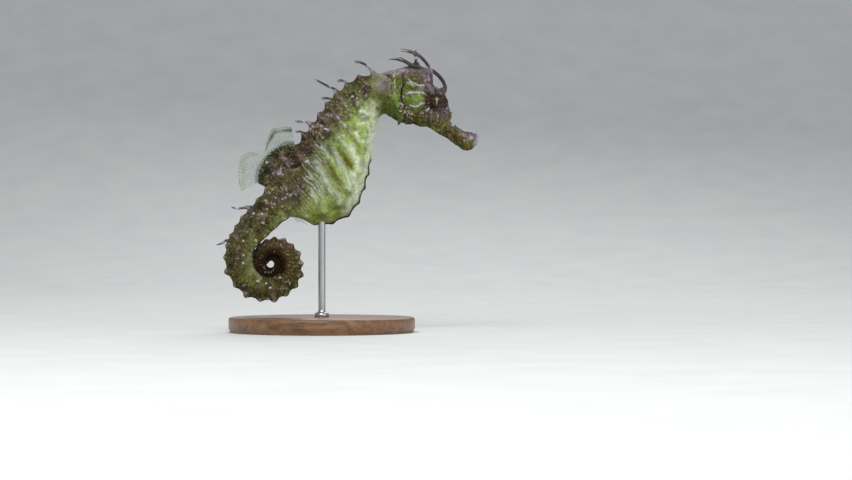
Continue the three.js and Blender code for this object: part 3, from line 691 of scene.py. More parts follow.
# The rims of the eyes: the skin is drawn to a ring round each eyeball.
EYE = [np.array([EYE_X, side * EYE_Y, EYE_Z]) for side in (-1, 1)]  # right, then left
EYE_AXIS = [unit([0.2, side * 0.97, 0.1]) for side in (-1, 1)]
LID, LID_OUTER = 58.0, 96.0  # the rim's edge and its outer limit, in degrees from the eye's axis
RIM_HEIGHT, RIM_DEPTH = 0.34, 0.55  # how far it stands over the eyeball, and the skin inside lies under it
sleeve = smooth(2.2 - near_line(np.column_stack([P[:, 0], -np.abs(P[:, 1]), P[:, 2]]), EYE_SLEEVE) / 0.8)
for centre, axis in zip(EYE, EYE_AXIS):
    d = P - centre
    r = np.linalg.norm(d, axis=1)
    way = d / r[:, None]
    turn = angle_from(axis, way)
    near = (r < 5.6) & (turn < LID_OUTER)
    rim = EYE_RADIUS + RIM_HEIGHT + 0.06 * noise(P, 0.8, 35)
    target = mix(rim, r, np.maximum(smooth((turn - 64) / (LID_OUTER - 64)), sleeve * above(turn, 60, 8)))
    target = mix(EYE_RADIUS - RIM_DEPTH, target, smooth((turn - LID + 5) / 8))
    P = np.where(near[:, None], centre + way * target[:, None], P)

X, Y, Z = P.T
XZ = P[:, [0, 2]]
folded = np.column_stack([X, -np.abs(Y), Z])  # both sides laid on the right one
on_head = below(t, 0.6, 0.8)
crest = ring_crest(t)
in_tail, in_coil = above(t, 10.5, 2), above(t, 16, 3)
on_side = above(np.abs(Y), 1.6, 1.6)
# Noise from coarse to fine, places seen from the side with uneven edges, and noise drawn out along the ribs.
n1, n2, n3, n4 = rough(P, 2.4, 30), rough(P, 1.1, 31), noise(P, 0.5, 32), noise(P, 0.34, 34)
ragged = XZ + 0.16 * np.column_stack([n3, n4])
soft = XZ + 0.5 * np.column_stack([n2, rough(P, 1.4, 36)])
flow = np.column_stack([t * 5, height * 5, np.sign(Y) * 7])
f1, f2 = noise(flow, 1.25, 70), noise(flow, 0.6, 71)
broad = noise(flow, 2.4, 72)


def widths_away(where, row):
    """Distance to a brush stroke over its half width. A row: the half width, then x and z of each point."""
    return near_line(where, np.reshape(row[1:], (-1, 2))) / row[0]


def strokes(rows, reach=1.8):
    """1 on thin brush strokes with ragged edges, seen from the side."""
    return np.maximum.reduce([smooth(reach - widths_away(ragged, row)) for row in rows])


def washes(rows):
    """1 along broad strokes with soft edges."""
    return np.maximum.reduce([bell(widths_away(soft, row) / 1.3) for row in rows])


def streak(where, width, *line):
    """1 along one line with soft edges."""
    return bell(near_line(where, line) / width)


def spot(x, z, radius, squash=1):
    """1 in the middle of a soft round spot seen from the side, or of a flat one."""
    return bell(np.hypot(X - x, squash * (Z - z)) / radius)


spine = np.zeros(len(P))  # 1 at the tips of spines and at the roots of feelers
for root, tip, radius in SPINES:
    way = tip - root
    share = ((P - root) @ way) / (way @ way)
    away = near_line(P, (root, tip))
    near_axis = smooth(1.7 - away / (radius * np.clip(1.1 - share, 0.15, 1) + 0.25))
    spine = np.maximum(spine, above(share, 0.25, 0.6) * near_axis)
crown = smooth((4.8 - np.hypot(X - CROWN_X, Y)) / 1.2) * smooth((Z - 85.6 + CROWN_SLOPE * (X - CROWN_X)) / 2)
hump = smooth(1.4 - near_line(XZ, [(-10.5, 61), (-15.5, 58.8), (-18.6, 54.8), (-18.8, 51)]) / 2.6)
hump = hump * below(np.abs(Y), 2.9, 0.9)
hump_rim = hump * smooth(1.6 - near_line(XZ, FIN_ROOT_RIM) / 1.1)
hump_turn = np.arctan2(Z - 50.0, X + 6.0)

# ---------------------------------------------------------------- relief

# Fine ribs, dots, folds, ridges of the head and the gill cover, as heights in mm along the normals.
GILL_X, GILL_Z, GILL_RX, GILL_RZ = 30.8, 78.5, 4.4, 5.9
gill = np.hypot((X - GILL_X) / GILL_RX, (Z - GILL_Z) / GILL_RZ) + 0.03 * n2
gill_turn = np.arctan2((Z - GILL_Z) / GILL_RZ, (X - GILL_X) / GILL_RX)
behind = smooth((0.1 - np.cos(gill_turn)) / 0.4) * window(Z, 73.2, 1.6, 83.2, 2)  # its free edge
gill_edge = bell((gill - 1.0) / 0.06) * behind * on_side * on_head
gill_inside = below(gill, 1.0, 0.14) * below(X, 34.4, 0.6) * on_side * on_head
HEAD_RIDGES = [  # right side: points, half width, height
    ([(38.2, -3.6, 80.2), (36.4, -3.6, 81.2), (35.6, -3.4, 83.4), (34.6, -2.8, 86)], 0.5, 0.40),
    ([(36.2, -3.4, 80.4), (34.6, -3.8, 82.4), (33.8, -3.4, 85)], 0.4, 0.25),
    ([(41.6, -1.9, 71.2), (43.8, -1.6, 69), (47.2, -1.5, 67)], 0.5, 0.28),
    ([(36.2, -4.2, 71.8), (39.4, -2.6, 69.4), (44, -1.7, 65.6), (47.4, -1.7, 63.4)], 0.5, 0.25),
    ([(26.9, -4.4, 75.6), (28.2, -4.6, 73.4), (29.6, -4.2, 71.6)], 0.45, 0.35),
    ([(24.4, -4.6, 78.6), (24.2, -4.8, 81.4), (24.4, -4, 84.4), (24.8, -2.6, 87)], 0.42, 0.45),
    ([(25.6, -4.6, 81.6), (25.6, -4, 84), (26, -3, 86.4)], 0.36, 0.35),
    ([(22.4, -4.6, 77.6), (22.6, -4.9, 80.4), (23, -4.6, 82.8)], 0.45, 0.30),
    ([(29.8, -3.9, 72.6), (32.6, -3.9, 71.6), (36, -4, 71.4), (38.4, -3.2, 71.2)], 0.45, 0.35),
    ([(27.4, -2.8, 86.4), (23.8, -3.2, 85.6), (21.4, -3.2, 85.4)], 0.5, 0.35),
    ([(28.2, -3.6, 84.9), (30.4, -3.3, 86.2), (33.2, -3, 86.3)], 0.45, 0.35),
    ([(33.6, -4, 72.9), (34.6, -4, 70.6)], 0.35, 0.22),
    ([(36.3, -3.9, 73.2), (36.2, -3.4, 69.8)], 0.3, 0.22),
    ([(38.2, -3.2, 73), (38.8, -2.8, 71.2), (38.4, -2.2, 69.6)], 0.3, 0.22),
]
head_ridge = np.zeros(len(P))
for line, width, rise in HEAD_RIDGES:
    head_ridge = np.maximum(head_ridge, rise * bell(near_line(folded, line) / width))
GILL_LINES = [
    (0.13, 28.5, 84.2, 29.4, 83.3, 30.4, 82.7), (0.22, 31.2, 82.4, 32.2, 81.8, 33.2, 81.8, 33.9, 82),
    (0.23, 28.5, 79.1, 29.3, 79.4, 31.5, 79.45, 33.7, 79.4),
    (0.19, 29.6, 75.2, 30.4, 74.9, 31.2, 74.7, 32.2, 75, 33, 75.7, 33.7, 76.2),
]
gill_lines = strokes(GILL_LINES) * on_side

eye_away = np.minimum(*[np.linalg.norm(P - centre, axis=1) for centre in EYE])
eye_turn = np.minimum(*[angle_from(axis, unit(P - centre)) for centre, axis in zip(EYE, EYE_AXIS)])
on_socket = below(eye_away, 5.2, 1.2)
eye_spoke = np.arctan2(Z - EYE_Z, X - EYE_X)

GROOVES = [  # points, strength, half width
    ([(7, 59.2), (8.4, 57.4), (9.9, 55)], 0.95, 1),
    ([(5.9, 61), (7.4, 58.6), (9, 56.8), (10.3, 54.4)], 0.7, 0.9),
    ([(3.2, 54.8), (5.3, 50.6)], 0.9, 0.95),
    ([(2.1, 57), (3.6, 54.2), (4.7, 52), (5.9, 49.4)], 0.7, 0.75),
    ([(8.2, 67.2), (10.4, 64.2), (12.4, 61.6), (12.2, 59.8)], 0.5, 1),
    ([(1, 49.2), (2.2, 46.8)], 0.55, 0.5),
    ([(8.6, 71.8), (10.8, 68.2)], 0.3, 0.6),
    ([(-1.6, 60.4), (0.8, 57.2)], 0.3, 0.6),
    ([(6, 47.4), (9.4, 45.2)], 0.3, 0.8),
]
flank = above(np.abs(Y), 2.2, 2.0) * window(t, 2.5, 1.5, 11.5, 1)
groove = np.zeros(len(P))
for line, strength, width in GROOVES:
    groove = np.maximum(groove, strength * bell(near_line(soft, line) / (width * (1 + 0.3 * n1))) * flank)

# Pale lines across the flank, a little over 1 mm apart; each comes and goes along its length.
number = t * 5 + 0.6 * noise(P, 3.4, 73) + 0.14 * n2
broken = noise(np.column_stack([np.floor(number) * 9, height * 13, np.sign(Y) * 5]), 1.3, 74)
lines = bell((number % 1 - 0.5) / 0.15)
rear = window(t, 6.8, 1.6, 11.4, 1.4) * window(height, 0.12, 0.15, 0.86, 0.15)
flank_lines = lines * rear * on_loft * smooth(0.55 + 1.6 * broken) * np.clip(0.8 + 0.8 * n1, 0.2, 1)
flank_lines = flank_lines * mix(1.0, 0.5, below(X, -5, 4)) * mix(1.0, 0.55, below(Z, 46, 3))
neck_lines = lines * window(t, 0.6, 1, 6.4, 2) * above(height, 0.3, 0.2)
neck_lines = neck_lines * smooth(0.1 + 1.8 * broken) * on_loft
band_line = bell(((t * 5.3 + 0.2 * n2) % 1 - 0.5) / 0.26) * window(t, 11, 1.5, 26, 4)
band_line = band_line * smooth((0.42 + 0.1 * n2 - height) / 0.14) * part(0.6 + 1.2 * n1)

tail_dots = np.maximum(dots(P, 1.3, 0.2, 0.62, 3), dots(P, 2.2, 0.34, 0.3, 5))
body_dots = np.maximum(dots(P, 1.9, 0.26, 0.42, 9), dots(P, 1.1, 0.15, 0.4, 13))
small_dots = dots(P, 0.8, 0.13, 0.5, 21)
body_dots = body_dots * window(t, -9, 3, 11.5, 2.5)
dot = np.maximum(tail_dots * above(t, 9.5, 2.5), body_dots) * (1 - 0.7 * gill_inside)

nets = np.zeros(len(P))  # a fine pale net on the trunk
here = (t > -1) & (t < 11.5) & (height < 0.85)
nets[here] = smooth(1 - network(P[here] + 0.25 * n3[here, None], 2.1, 90) / 0.42)


def ridge_at(number, width):
    """1 along one of the body's ridges, by its step round the section."""
    return bell((step - number) * mm_step / width) * on_loft


def knob_at(number):
    """1 at the tips of one ridge's knobs."""
    return bell(np.hypot((step - number) * mm_step, ring_away) / knob_radius)


ring_away = ring_middle(t) * mm_rib
knob_radius = np.minimum(0.52, 0.2 * mm_rib) * knob_sizes(t) ** 0.5
knob_tip = np.maximum.reduce([knob_at(1), knob_at(3) * (1 - in_tail), knob_at(5) * (1 - in_coil)])
knob_tip = knob_tip * above(t, 0.8, 0.6) * on_loft
plate_ridge = np.maximum.reduce([ridge_at(1, 0.55), ridge_at(3, 0.5) * (1 - in_tail), ridge_at(5, 0.5)])
plate_ridge = plate_ridge * smooth(t - 0.5)
ring_line = bell(ring_away / (0.30 + 0.1 * n2)) * on_loft * above(t, 0.5, 0.5) * smooth(0.4 + 1.3 * n1)

relief = 0.12 * dot + 0.05 * small_dots + 0.07 * rough(P, 1.1, 2) + 0.03 * noise(P, 0.45, 4)
relief += (0.12 * flank_lines + 0.07 * neck_lines) * (1 - groove) + 0.09 * band_line * crest
relief += 0.10 * broad * window(t, 1, 2, 13, 3) * on_side - 0.42 * groove
plates = smooth(t - 0.5) * above(height, 0.05, 0.2) * (1 - 0.7 * above(t, 30, 5)) * on_loft
relief += plates * (mix(0.20, 0.10, in_coil) * bell(ring_away / 0.34) + 0.10 * plate_ridge)
relief += 0.06 * in_tail * f2 + 0.04 * nets * on_side * (1 - groove)
relief += on_head * head_ridge * (0.85 + 0.5 * n2)
relief += on_head * (0.16 * bell((gill - 0.88) / 0.08) * behind * on_side - 0.36 * gill_edge)
relief += 0.11 * gill_lines * on_head
relief += 0.04 * gill_inside * np.cos(gill_turn * 24) * window(gill, 0.3, 0.4, 0.9, 0.2)
relief += (0.16 * rough(P, 1.3, 12) + 0.09 * n3) * on_head * (1 - 0.8 * gill_inside)
relief += on_head * (0.3 * spot(32.9, 69.0, 0.9) - 0.3 * spot(31.0, 69.8, 0.8))
relief += 0.07 * on_socket * np.cos(eye_spoke * 17 + 1.5 * n1) * above(eye_turn, 62, 8)
relief += 0.14 * hump_rim * np.cos(hump_turn * 50) + crown * (0.16 * rough(P, 0.9, 84) + 0.05 * n3)
keel_away = (7 - step) * mm_step
keel = window(t, 4.0, 0.8, 10.8, 1)
relief += 0.22 * bell(keel_away / 0.4) * keel * (1 + 0.2 * n2)
nostril = np.linalg.norm(folded - (41.3, -1.9, 72.4), axis=1)  # in mm from it
relief -= 0.35 * bell(nostril / 0.42)
relief *= smooth((eye_away - EYE_RADIUS - 0.1) / 0.5)

set_points(skin, P)
P = relaxed(P + get_normals(skin) * relief[:, None], edge_list, 1, 0.3)
set_points(skin, P)

# ---------------------------------------------------------------- the skin's markings

BROWN, BROWN_DARK, BROWN_MAUVE = srgb(64, 52, 30), srgb(28, 21, 8), srgb(120, 104, 98)
OLIVE, TAIL_OLIVE, TAIL_MAUVE = srgb(78, 78, 26), srgb(72, 68, 26), srgb(108, 92, 80)
LIME, LIME_DEEP, PALE = srgb(150, 168, 92), srgb(100, 120, 42), srgb(192, 198, 184)
GROOVE_BROWN_AND_SHADE, VENTRAL, VENTRAL_PALE = srgb(84, 72, 14), srgb(88, 94, 36), srgb(138, 144, 88)
COIL_DARK_AND_SHADE, COIL_RED = srgb(40, 26, 8), srgb(74, 54, 28)
LAVENDER, WHITE = srgb(182, 160, 214), srgb(210, 204, 206)
HEAD_MAUVE, EYE_BROWN, SNOUT_TIP = srgb(122, 104, 112), srgb(40, 27, 14), srgb(166, 158, 184)
TAN, GREEN_DARK_AND_SHADE, BRIGHT = srgb(168, 146, 108), srgb(62, 80, 22), srgb(156, 182, 92)


def lavender(white):
    """The pale lavender of the small marks, with some white in it."""
    return mix(LAVENDER, WHITE, white)


SPECK = lavender(0.6)

# The brown of the back, with olive, dark and mauve patches.
colour = Coat(BROWN, len(P))
colour.lay(OLIVE, smooth(noise(P, 3.1, 33) * 2 - 0.1) * 0.8)
colour.lay(BROWN_DARK, smooth(n1 * 2.6 + 0.8 * n2 + 0.05) * 0.9)
colour.lay(BROWN_MAUVE, smooth(1.5 * n2 - 0.6 * n1 - 0.3) * 0.85)
colour.lay(BROWN_MAUVE, smooth(1.4 * f1 - 0.3) * 0.5)
PATCHES = [  # colour, strength and strokes
    ((56, 54, 18), 0.8, [
        (1.1, -2.4, 66.4, 1.4, 64.8), (1.2, -17, 54.4, -16.4, 50.8), (0.8, 9, 80.2, 10.6, 81.2)]),
    ((58, 40, 22), 0.8, [
        (1.3, -6.4, 62.8, -2.6, 61.2), (0.7, 3.8, 69.8, 5.2, 68.8), (1, 1.6, 73.2, 4.4, 74.8),
        (1, -12.6, 57.4, -9.6, 58)]),
    ((84, 84, 38), 0.75, [
        (0.9, 9.4, 81.8, 13.2, 83.6), (0.8, 4.2, 78.4, 6.6, 79.4), (0.7, 6.4, 75.6, 9.6, 77.2),
        (1, -13.8, 51.6, -10.6, 52.8), (1, -14.6, 47.4, -9.8, 49)]),
    ((128, 108, 106), 0.7, [
        (0.45, -4.2, 69.4, 0.4, 68.2, 5.2, 66.8), (0.4, -13.4, 55.4, -10.4, 53.4),
        (0.35, -12.8, 58.4, -9.6, 56), (0.4, 2.4, 72.4, 6, 71), (0.5, -20, 44.6, -16.6, 42.4),
        (0.35, -1.4, 71.8, 2.2, 70.4), (0.35, 6.2, 78, 8.8, 76.2), (0.6, -22.4, 42, -20.2, 41.2)]),
]
for patch, strength, rows in PATCHES:
    colour.lay(patch, washes(rows) * strength * part(1 + n3))
colour.lay(mix(BROWN_MAUVE, WHITE, 0.35), smooth(n3 * 1.8 - 0.8) * 0.6)

# The tail.
tail_colour = Coat(TAIL_OLIVE, len(P))
tail_colour.lay(TAIL_MAUVE, smooth(n1 * 2 + 0.5 * f1) * above(height, 0.2, 0.4) * 0.85)
tail_colour.lay(BROWN_DARK, smooth(n2 * 1.8 - 0.6 * n1 - 0.1) * 0.8)
tail_colour.lay(BROWN_DARK, smooth(f1 * 2.2 - 0.5) * 0.6)
# Painted shade in the sunk grooves between the tail's rings.
tail_colour.lay(BROWN_DARK, (1 - crest) ** 3 * 0.3 * above(height, 0.3, 0.3))
tail_colour.lay(mix(TAIL_MAUVE, WHITE, 0.35), smooth(n3 * 1.8 - 0.8) * 0.6)
colour.lay(tail_colour.rgb, above(t, 10, 3))
ventral = window(t, 10.8, 1.5, 24.4 + n1, 3) * smooth((0.34 + 0.14 * n1 + 0.10 * n2 - height) / 0.16)
tail_root = below(t, 13.6, 1.2)
patches = smooth(0.45 + 1.1 * n1 + 0.7 * n2 + 0.5 * noise(P, 3.4, 77))
patches = patches * (1 - 0.85 * bell((t - 16.6) / 1.1)) * (1 - 0.5 * tail_root)
colour.lay(VENTRAL, ventral * patches * 0.9)
colour.lay((118, 122, 78), ventral * tail_root * smooth(0.5 + n1) * 0.7)
colour.lay((50, 58, 16), ventral * (smooth(n2 * 1.9 - 0.2) * 0.6 + 0.7 * below(height, 0.06, 0.08)))
pale_bands = (band_line * 0.6 + smooth(n2 * 1.5 - 0.3 - n1) * 0.5) * ventral
colour.lay(VENTRAL_PALE, pale_bands * (0.3 + 0.7 * patches))
coil_line = washes([(0.6, -23.9, 27.4, -23.5, 23.4, -22.4, 20.2, -20.4, 18.4)])
colour.lay((146, 150, 112), coil_line * in_coil * 0.75 * (0.6 + n2))
colour.lay((92, 100, 34), washes([(0.8, -26.2, 18.0, -22.4, 15.9)]) * in_coil * 0.7)
colour.scale(1 + 0.14 * bell((t - 12.6) / 2.0))
colour.lay(LIME_DEEP * 0.7, window(t, 11, 3, 24, 4) * smooth(n1 * 1.5 - 0.4) * 0.4)

# The hump, with dark green roots of the fin's rays along its rim.
colour.lay(BROWN_DARK, hump * smooth(n1 * 1.8 + 0.2) * 0.7)
ray_roots = (0.5 + 0.5 * np.cos(hump_turn * 62 + n2))[:, None] ** 2
colour.lay(mix(srgb(26, 36, 10), srgb(78, 96, 34), ray_roots), hump_rim * part(0.9 + 0.6 * n2))

# The pale belly: lime, with pale streaks between the folds.
EDGE_RIBS = [-13, -1, 0, 1.5, 3.5, 5.5, 7.5, 8.5, 9.2, 9.7, 10.2, 10.7, 11.2, 12, 50]
EDGE_HEIGHTS = [0, 0.5, 0.58, 0.62, 0.68, 0.73, 0.76, 0.74, 0.64, 0.52, 0.4, 0.3, 0.22, 0.2, 0.2]
edge = np.interp(t, EDGE_RIBS, EDGE_HEIGHTS)  # the height at which the belly's green ends
on_trunk = window(t, -0.8, 0.8, 11.8, 1)
rear_fade = above(t, 5.5, 3) * above(height, 0.35, 0.25)
belly = smooth((edge + 0.14 * n1 + 0.08 * n2 + 0.1 * f1 - height) / 0.18 + 0.5) * on_trunk
flesh = Coat(LIME, len(P))
flesh.lay(LIME_DEEP, smooth(n1 * 2.2 + 0.7 * n2 + 0.8 * broad) * 0.9)
flesh.lay(OLIVE, smooth((height - edge + 0.25) / 0.25 + 0.9 * n2) * 0.65)
flesh.lay(OLIVE, rear_fade * smooth(0.6 + f1) * 0.8)
flesh.lay(PALE, smooth(1.3 * broad + 0.6 * n2 - 0.5) * above(t, 3, 2) * (1 - rear_fade) * 0.35)
PALE_STREAKS = [
    (0.75, -1.6, 56.5, 1.4, 50.8, 3.4, 46.6), (0.6, 4.8, 59.4, 6.8, 55.2, 8.9, 51, 9.8, 47.4),
    (1, 9.9, 61, 11.8, 57.6, 12.6, 54.2), (0.95, 10.4, 52.6, 11.8, 48.6, 11.4, 44.8),
    (1.1, 17.4, 75.4, 17.4, 70, 16.8, 65, 16.2, 60.5, 15.1, 55.5, 14, 50.5, 12.4, 46, 10.4, 43.4),
    (0.5, 12.4, 69, 15, 69.6, 16.4, 66.6, 15.2, 63.6, 12.6, 63.4, 11.7, 66), (0.6, 13.4, 73.4, 16.2, 72.6),
    (0.3, 6.6, 69.8, 8.2, 67.8), (0.6, 9.6, 43.8, 8.4, 41, 7, 39), (0.4, -0.4, 62.4, 2.2, 58.8, 3.8, 56.2),
    (0.6, 9.1, 42.2, 8.3, 39.8), (0.35, -4.6, 54.2, -1.4, 49, 0.6, 44.8), (0.35, -3.2, 47.4, -1.4, 43.4),
    (0.5, 5.2, 46.2, 6.4, 42.6), (0.4, 5.6, 64.6, 9.4, 60.4),
]
BRIGHT_STREAKS = [
    (0.9, 13.6, 67.6, 14.2, 66), (0.55, 6.4, 53.4, 7.6, 50.6, 8.4, 47.8), (0.6, 11.4, 55.6, 13, 53.4),
    (0.45, 2.4, 59.2, 4.4, 56.2, 6.2, 52.6), (1, 2, 40.8, 3.6, 39.6), (0.6, 10.4, 60, 12.4, 62.4),
    (0.6, 9.8, 69, 11.2, 71.2), (0.6, 13.4, 60.4, 14.4, 57.6), (0.6, 0.4, 46.4, 1.6, 43.4),
]
# Dark green streaks; the two on the neck under the head are painted shade cast by the chin.
DARK_AND_SHADE_STREAKS = [
    (0.8, 3, 41.9, 5.4, 41.3), (0.9, -5.2, 40.4, -1.6, 39, 0.8, 38.4), (1.3, -10.4, 42.8, -6.6, 42.4),
    (1.4, 16.2, 79.4, 19.4, 77.8), (0.9, 18.8, 74.2, 20.6, 73.9), (0.6, 5.6, 72.4, 7.4, 70.6),
]
pale_streaks = washes(PALE_STREAKS) * part(0.85 + 0.5 * n2)
flesh.lay(BRIGHT, washes(BRIGHT_STREAKS) * 0.85)
# The pale streaks are whiter towards the chest's front edge: painted light where the surface turns from the
# lamps.
away_from_edge_light = below(X, 12.5, 6)[:, None]
flesh.lay(mix(srgb(226, 232, 206), PALE, away_from_edge_light), pale_streaks * 0.85)
flesh.lay(PALE, nets * smooth(0.1 + 1.2 * n1) * 0.3)
flesh.lay(mix(PALE, LAVENDER, 0.2), smooth(n3 * 1.8 - 0.9) * 0.4)
# Dark streaks, with the chin's painted shade on the neck.
flesh.lay((96, 98, 30), washes(DARK_AND_SHADE_STREAKS) * 0.85)
flesh.lay((112, 120, 40), smooth((t - 8.0) / 1.6 + 0.9 * n1) * below(height, 0.4, 0.2) * 0.5)
flesh.lay((92, 70, 20), above(t, 8.8, 1) * below(height, 0.14, 0.1) * smooth(n2 * 1.5 + 0.2) * 0.8)
flesh.lay(OLIVE, smooth((1.9 - t) / 2 + 0.6 * n2) * 0.75)
flesh.scale(1 - 0.2 * below(X, 9, 5) * above(Z, 41, 6))

# The body put together: back, belly, folds, pale lines and keel.
neck_olive = below(t, 5.2, 2) * smooth(0.7 * n1 + 0.9 * noise(P, 2.2, 78) + 0.3)
colour.lay((92, 96, 42), neck_olive * (1 - in_tail) * 0.85)
mottle = rough(P, 1.5, 79)
colour.lay((140, 122, 118), smooth(2.6 * mottle - 0.9) * (1 - in_tail) * 0.5)
colour.scale(mix(1.08, np.clip(0.96 + 0.9 * mottle, 0.4, 1.5), 1 - in_tail))
colour.lay(flesh.rgb, belly)
# The flank's grooves: partly their own olive-brown, partly painted shade in the creases.
colour.lay((116, 120, 38), groove * part(0.9 + 0.5 * n2))
colour.lay(GROOVE_BROWN_AND_SHADE, groove**2 * part(0.9 + 0.4 * n2))
stripe = mix(srgb(158, 144, 126), srgb(192, 196, 176), belly[:, None])
colour.lay(stripe, part(flank_lines * 0.85 + neck_lines * (0.3 + 0.25 * belly)) * (1 - groove))
# A pale line on each ring's crest: partly its own pale colour, partly painted light on the raised ring.
colour.lay(stripe, ring_line * below(t, 11, 2) * (1 - belly) * above(height, 0.45, 0.2) * 0.4)
near_keel = keel * smooth((0.8 - keel_away + 0.15 * n2) / 0.35)
colour.lay((110, 84, 56), keel * smooth((1.5 - keel_away + 0.3 * n2) / 0.5) * 0.5)
colour.lay((34, 22, 10), near_keel)

# The coil darkens inwards (dark pigment and painted shade), and its outer turn is tan flecked.
inwards = np.hypot(X + 16.4, Z - 22.7)
inner_turn = above(t, 31.5, 3)
# The coil's dark: partly its own dark brown, partly painted shade over the deep inner turn.
dark = np.maximum(smooth((6.9 - inwards + 0.6 * n1) / 2.4) * above(t, 24.2, 1.6), inner_turn * 0.85)
colour.lay(COIL_RED, above(t, 25, 5) * 0.55)
colour.lay(TAN, window(t, 23.5, 2, 34, 3) * smooth(f2 * 2 + n3 - 0.7) * 0.55)
colour.lay(COIL_DARK_AND_SHADE, dark * part(0.95 + 0.4 * n2))
# Painted shade in the middle of the coil.
colour.lay((26, 14, 2), below(inwards, 5.0, 1.6) * above(t, 24.5, 1) * 0.8)
colour.lay(BROWN_DARK, inner_turn * smooth(n2 * 2 + f1) * 0.6)
one_dot = noise(np.column_stack([np.floor(t * 1.6) * 3.7, 0 * t, 0 * t]), 1.0, 75)
row_dots = bell(((t * 1.6) % 1 - 0.5) / 0.17) * bell((step - 3.9 - 0.9 * one_dot) * mm_step / 0.28)
row_dots = row_dots * window(t, 33.5, 1, 41, 1.5) * smooth(0.75 + 1.5 * noise(P, 1.1, 76))
colour.lay((176, 148, 138), row_dots * 0.8)
colour.lay((76, 98, 36), above(t, 48.2, 1.2) * 0.9)

# The head: mauve on top, dark round the eye, lime behind and on the gill cover, olive below.
head = Coat((76, 72, 30), len(P))
head.lay(BROWN_DARK, smooth(n2 * 1.9 - 0.1) * 0.75)
head.lay(BROWN_MAUVE, smooth(n1 * 2 - n2 - 0.2) * 0.5)
top = smooth((height - 0.73 + 0.12 * n1 + 0.08 * n2) / 0.1) * above(t, -9.5, 2)
front = smooth((X - 34.0 + 0.5 * n1) / 1.0) * smooth((Z - 79.6 + 0.5 * n2) / 1.0)
top = np.maximum(top, front)
upright = noise(np.column_stack([X * 3.2, Y * 2, Z * 0.8 + 0.8 * X]), 0.9, 46)
head.lay(HEAD_MAUVE, top * part(0.8 + 0.7 * n3))
head.lay(BROWN_DARK, top * smooth(n2 * 2.2 + 0.9 * n3 - 0.4) * 0.75)
head.lay(mix(LAVENDER, HEAD_MAUVE, 0.45), top * smooth(upright * 2.4 - 0.4) * smooth(0.6 + n2) * 0.6)
head.lay(lavender(0.5), top * smooth(3 * n3 - 1.1) * (0.6 - 0.4 * front))
head.lay(OLIVE, above(height, 0.6, 0.2) * smooth(2.0 * noise(P, 1.9, 44) - 0.8) * 0.5)
nape = above(height, 0.84, 0.08) * below(X, 31, 3)
head.lay((146, 130, 142), nape * smooth(0.7 + 1.2 * n2) * 0.5)

# The olive patch on the cheek's upper part.
upper = window(X, 26.4 - n2, 1.2, 34.4, 1.0) * window(Z, 81.9 - 0.5 * n1, 0.7, 86.6 + 0.5 * n2, 0.7)
head.lay(mix(OLIVE, BROWN_DARK, 0.2), upper * part(0.8 + 0.6 * n3))
head.lay(BROWN_DARK, upper * smooth(n2 * 2.2 + n3 - 0.3) * 0.7)
head.lay((104, 106, 40), upper * smooth(noise(P, 1.5, 47) * 2 - 0.2) * 0.6)
head.lay((132, 122, 108), upper * np.clip(0.06 + 0.7 * n3 + 0.4 * n2, 0, 0.7))
head.lay((128, 120, 108), spot(28.0, 84.7, 0.8) * 0.7)

# The cheek behind the gill cover: green, with pale upright lines; darker at its bottom, partly painted shade.
cheek = smooth((27.4 - X + 0.5 * n2) / 1.2) * smooth((85.6 - Z + 1.2 * n1) / 2)
head.lay(mix(OLIVE, LIME_DEEP, 0.35), cheek * part(0.85 + 0.6 * n2))
head.lay(BROWN_DARK, cheek * smooth(n2 * 2 + n1 - 0.1) * 0.6)
head.lay((140, 138, 100), cheek * smooth(2.2 * upright + 0.5 * n3 - 0.2) * above(Z, 78.6, 2) * 0.75)
head.lay((118, 142, 64), cheek * smooth(1.6 * spot(24.6, 78.1, 1.3) + 0.6 * n2 - 0.05) * 0.8)
head.lay((112, 132, 52), cheek * streak(ragged, 0.45, (25.2, 76.2), (27.2, 73.8)) * 0.7)
head.lay((136, 148, 100), cheek * spot(23.2, 79.2, 1.0, 1.2) * part(0.6 + n2) * 0.7)
head.lay((156, 156, 122), streak(ragged, 0.3, (23.9, 87.0), (24.2, 84.0), (24.4, 81.0)) * smooth(0.7 + n3))
head.lay((146, 148, 108), streak(ragged, 0.26, (25.3, 86.6), (25.4, 83.2)) * smooth(0.6 + n3))
head.lay((52, 42, 30), spot(22.2, 85.1, 0.8, 1.4) * 0.9)
head.lay((56, 46, 26), streak(soft, 0.6, (27.2, 85.4), (27.0, 82.2)) * 0.8)
# Darker green towards the cheek's bottom: partly its own colour, partly painted shade under the jaw.
head.lay(mix(GREEN_DARK_AND_SHADE, LIME_DEEP, 0.15), cheek * smooth((75.9 - Z + 0.9 * n1 - 0.5 * (X - 24)) / 2.0) * 0.9)
head.lay(BROWN, cheek * smooth((22.2 - X) / 2 + 0.6 * n2) * 0.6)

# The gill cover.
head.lay(mix(LIME_DEEP, OLIVE, 0.6), gill_inside * (1 - 0.7 * upper))
between = window(Z, 75.2, 0.7, 81.6 + 0.5 * n2, 0.7) * smooth((X - 27.6 + 0.6 * n2) / 0.8)
head.lay((106, 124, 54), gill_inside * between * part(0.8 + 0.7 * n2))
head.lay((140, 150, 112), gill_inside * between * smooth(1.6 * n1 + 1.4 * n2 - 0.3) * 0.75)
head.lay((70, 74, 26), gill_inside * smooth(n2 * 2 - n1 - 0.4) * 0.6)
gill_top = smooth((0.9 - near_line(soft, [(28.6, 83.0), (31.0, 82.0)])) / 0.5 + 0.5 * n2)
head.lay((146, 156, 124), gill_inside * gill_top * 0.8)
head.lay((118, 154, 58), gill_inside * spot(32.6, 78.2, 0.8) * 0.85)
head.lay((66, 74, 20), gill_inside * bell((Z - 80.9 + 0.4 * n2) / 0.8) * below(X, 32.8, 1.5))
head.lay((120, 108, 96), gill_inside * bell((Z - 80.9) / 0.4) * above(X, 31.2, 1) * 0.6)

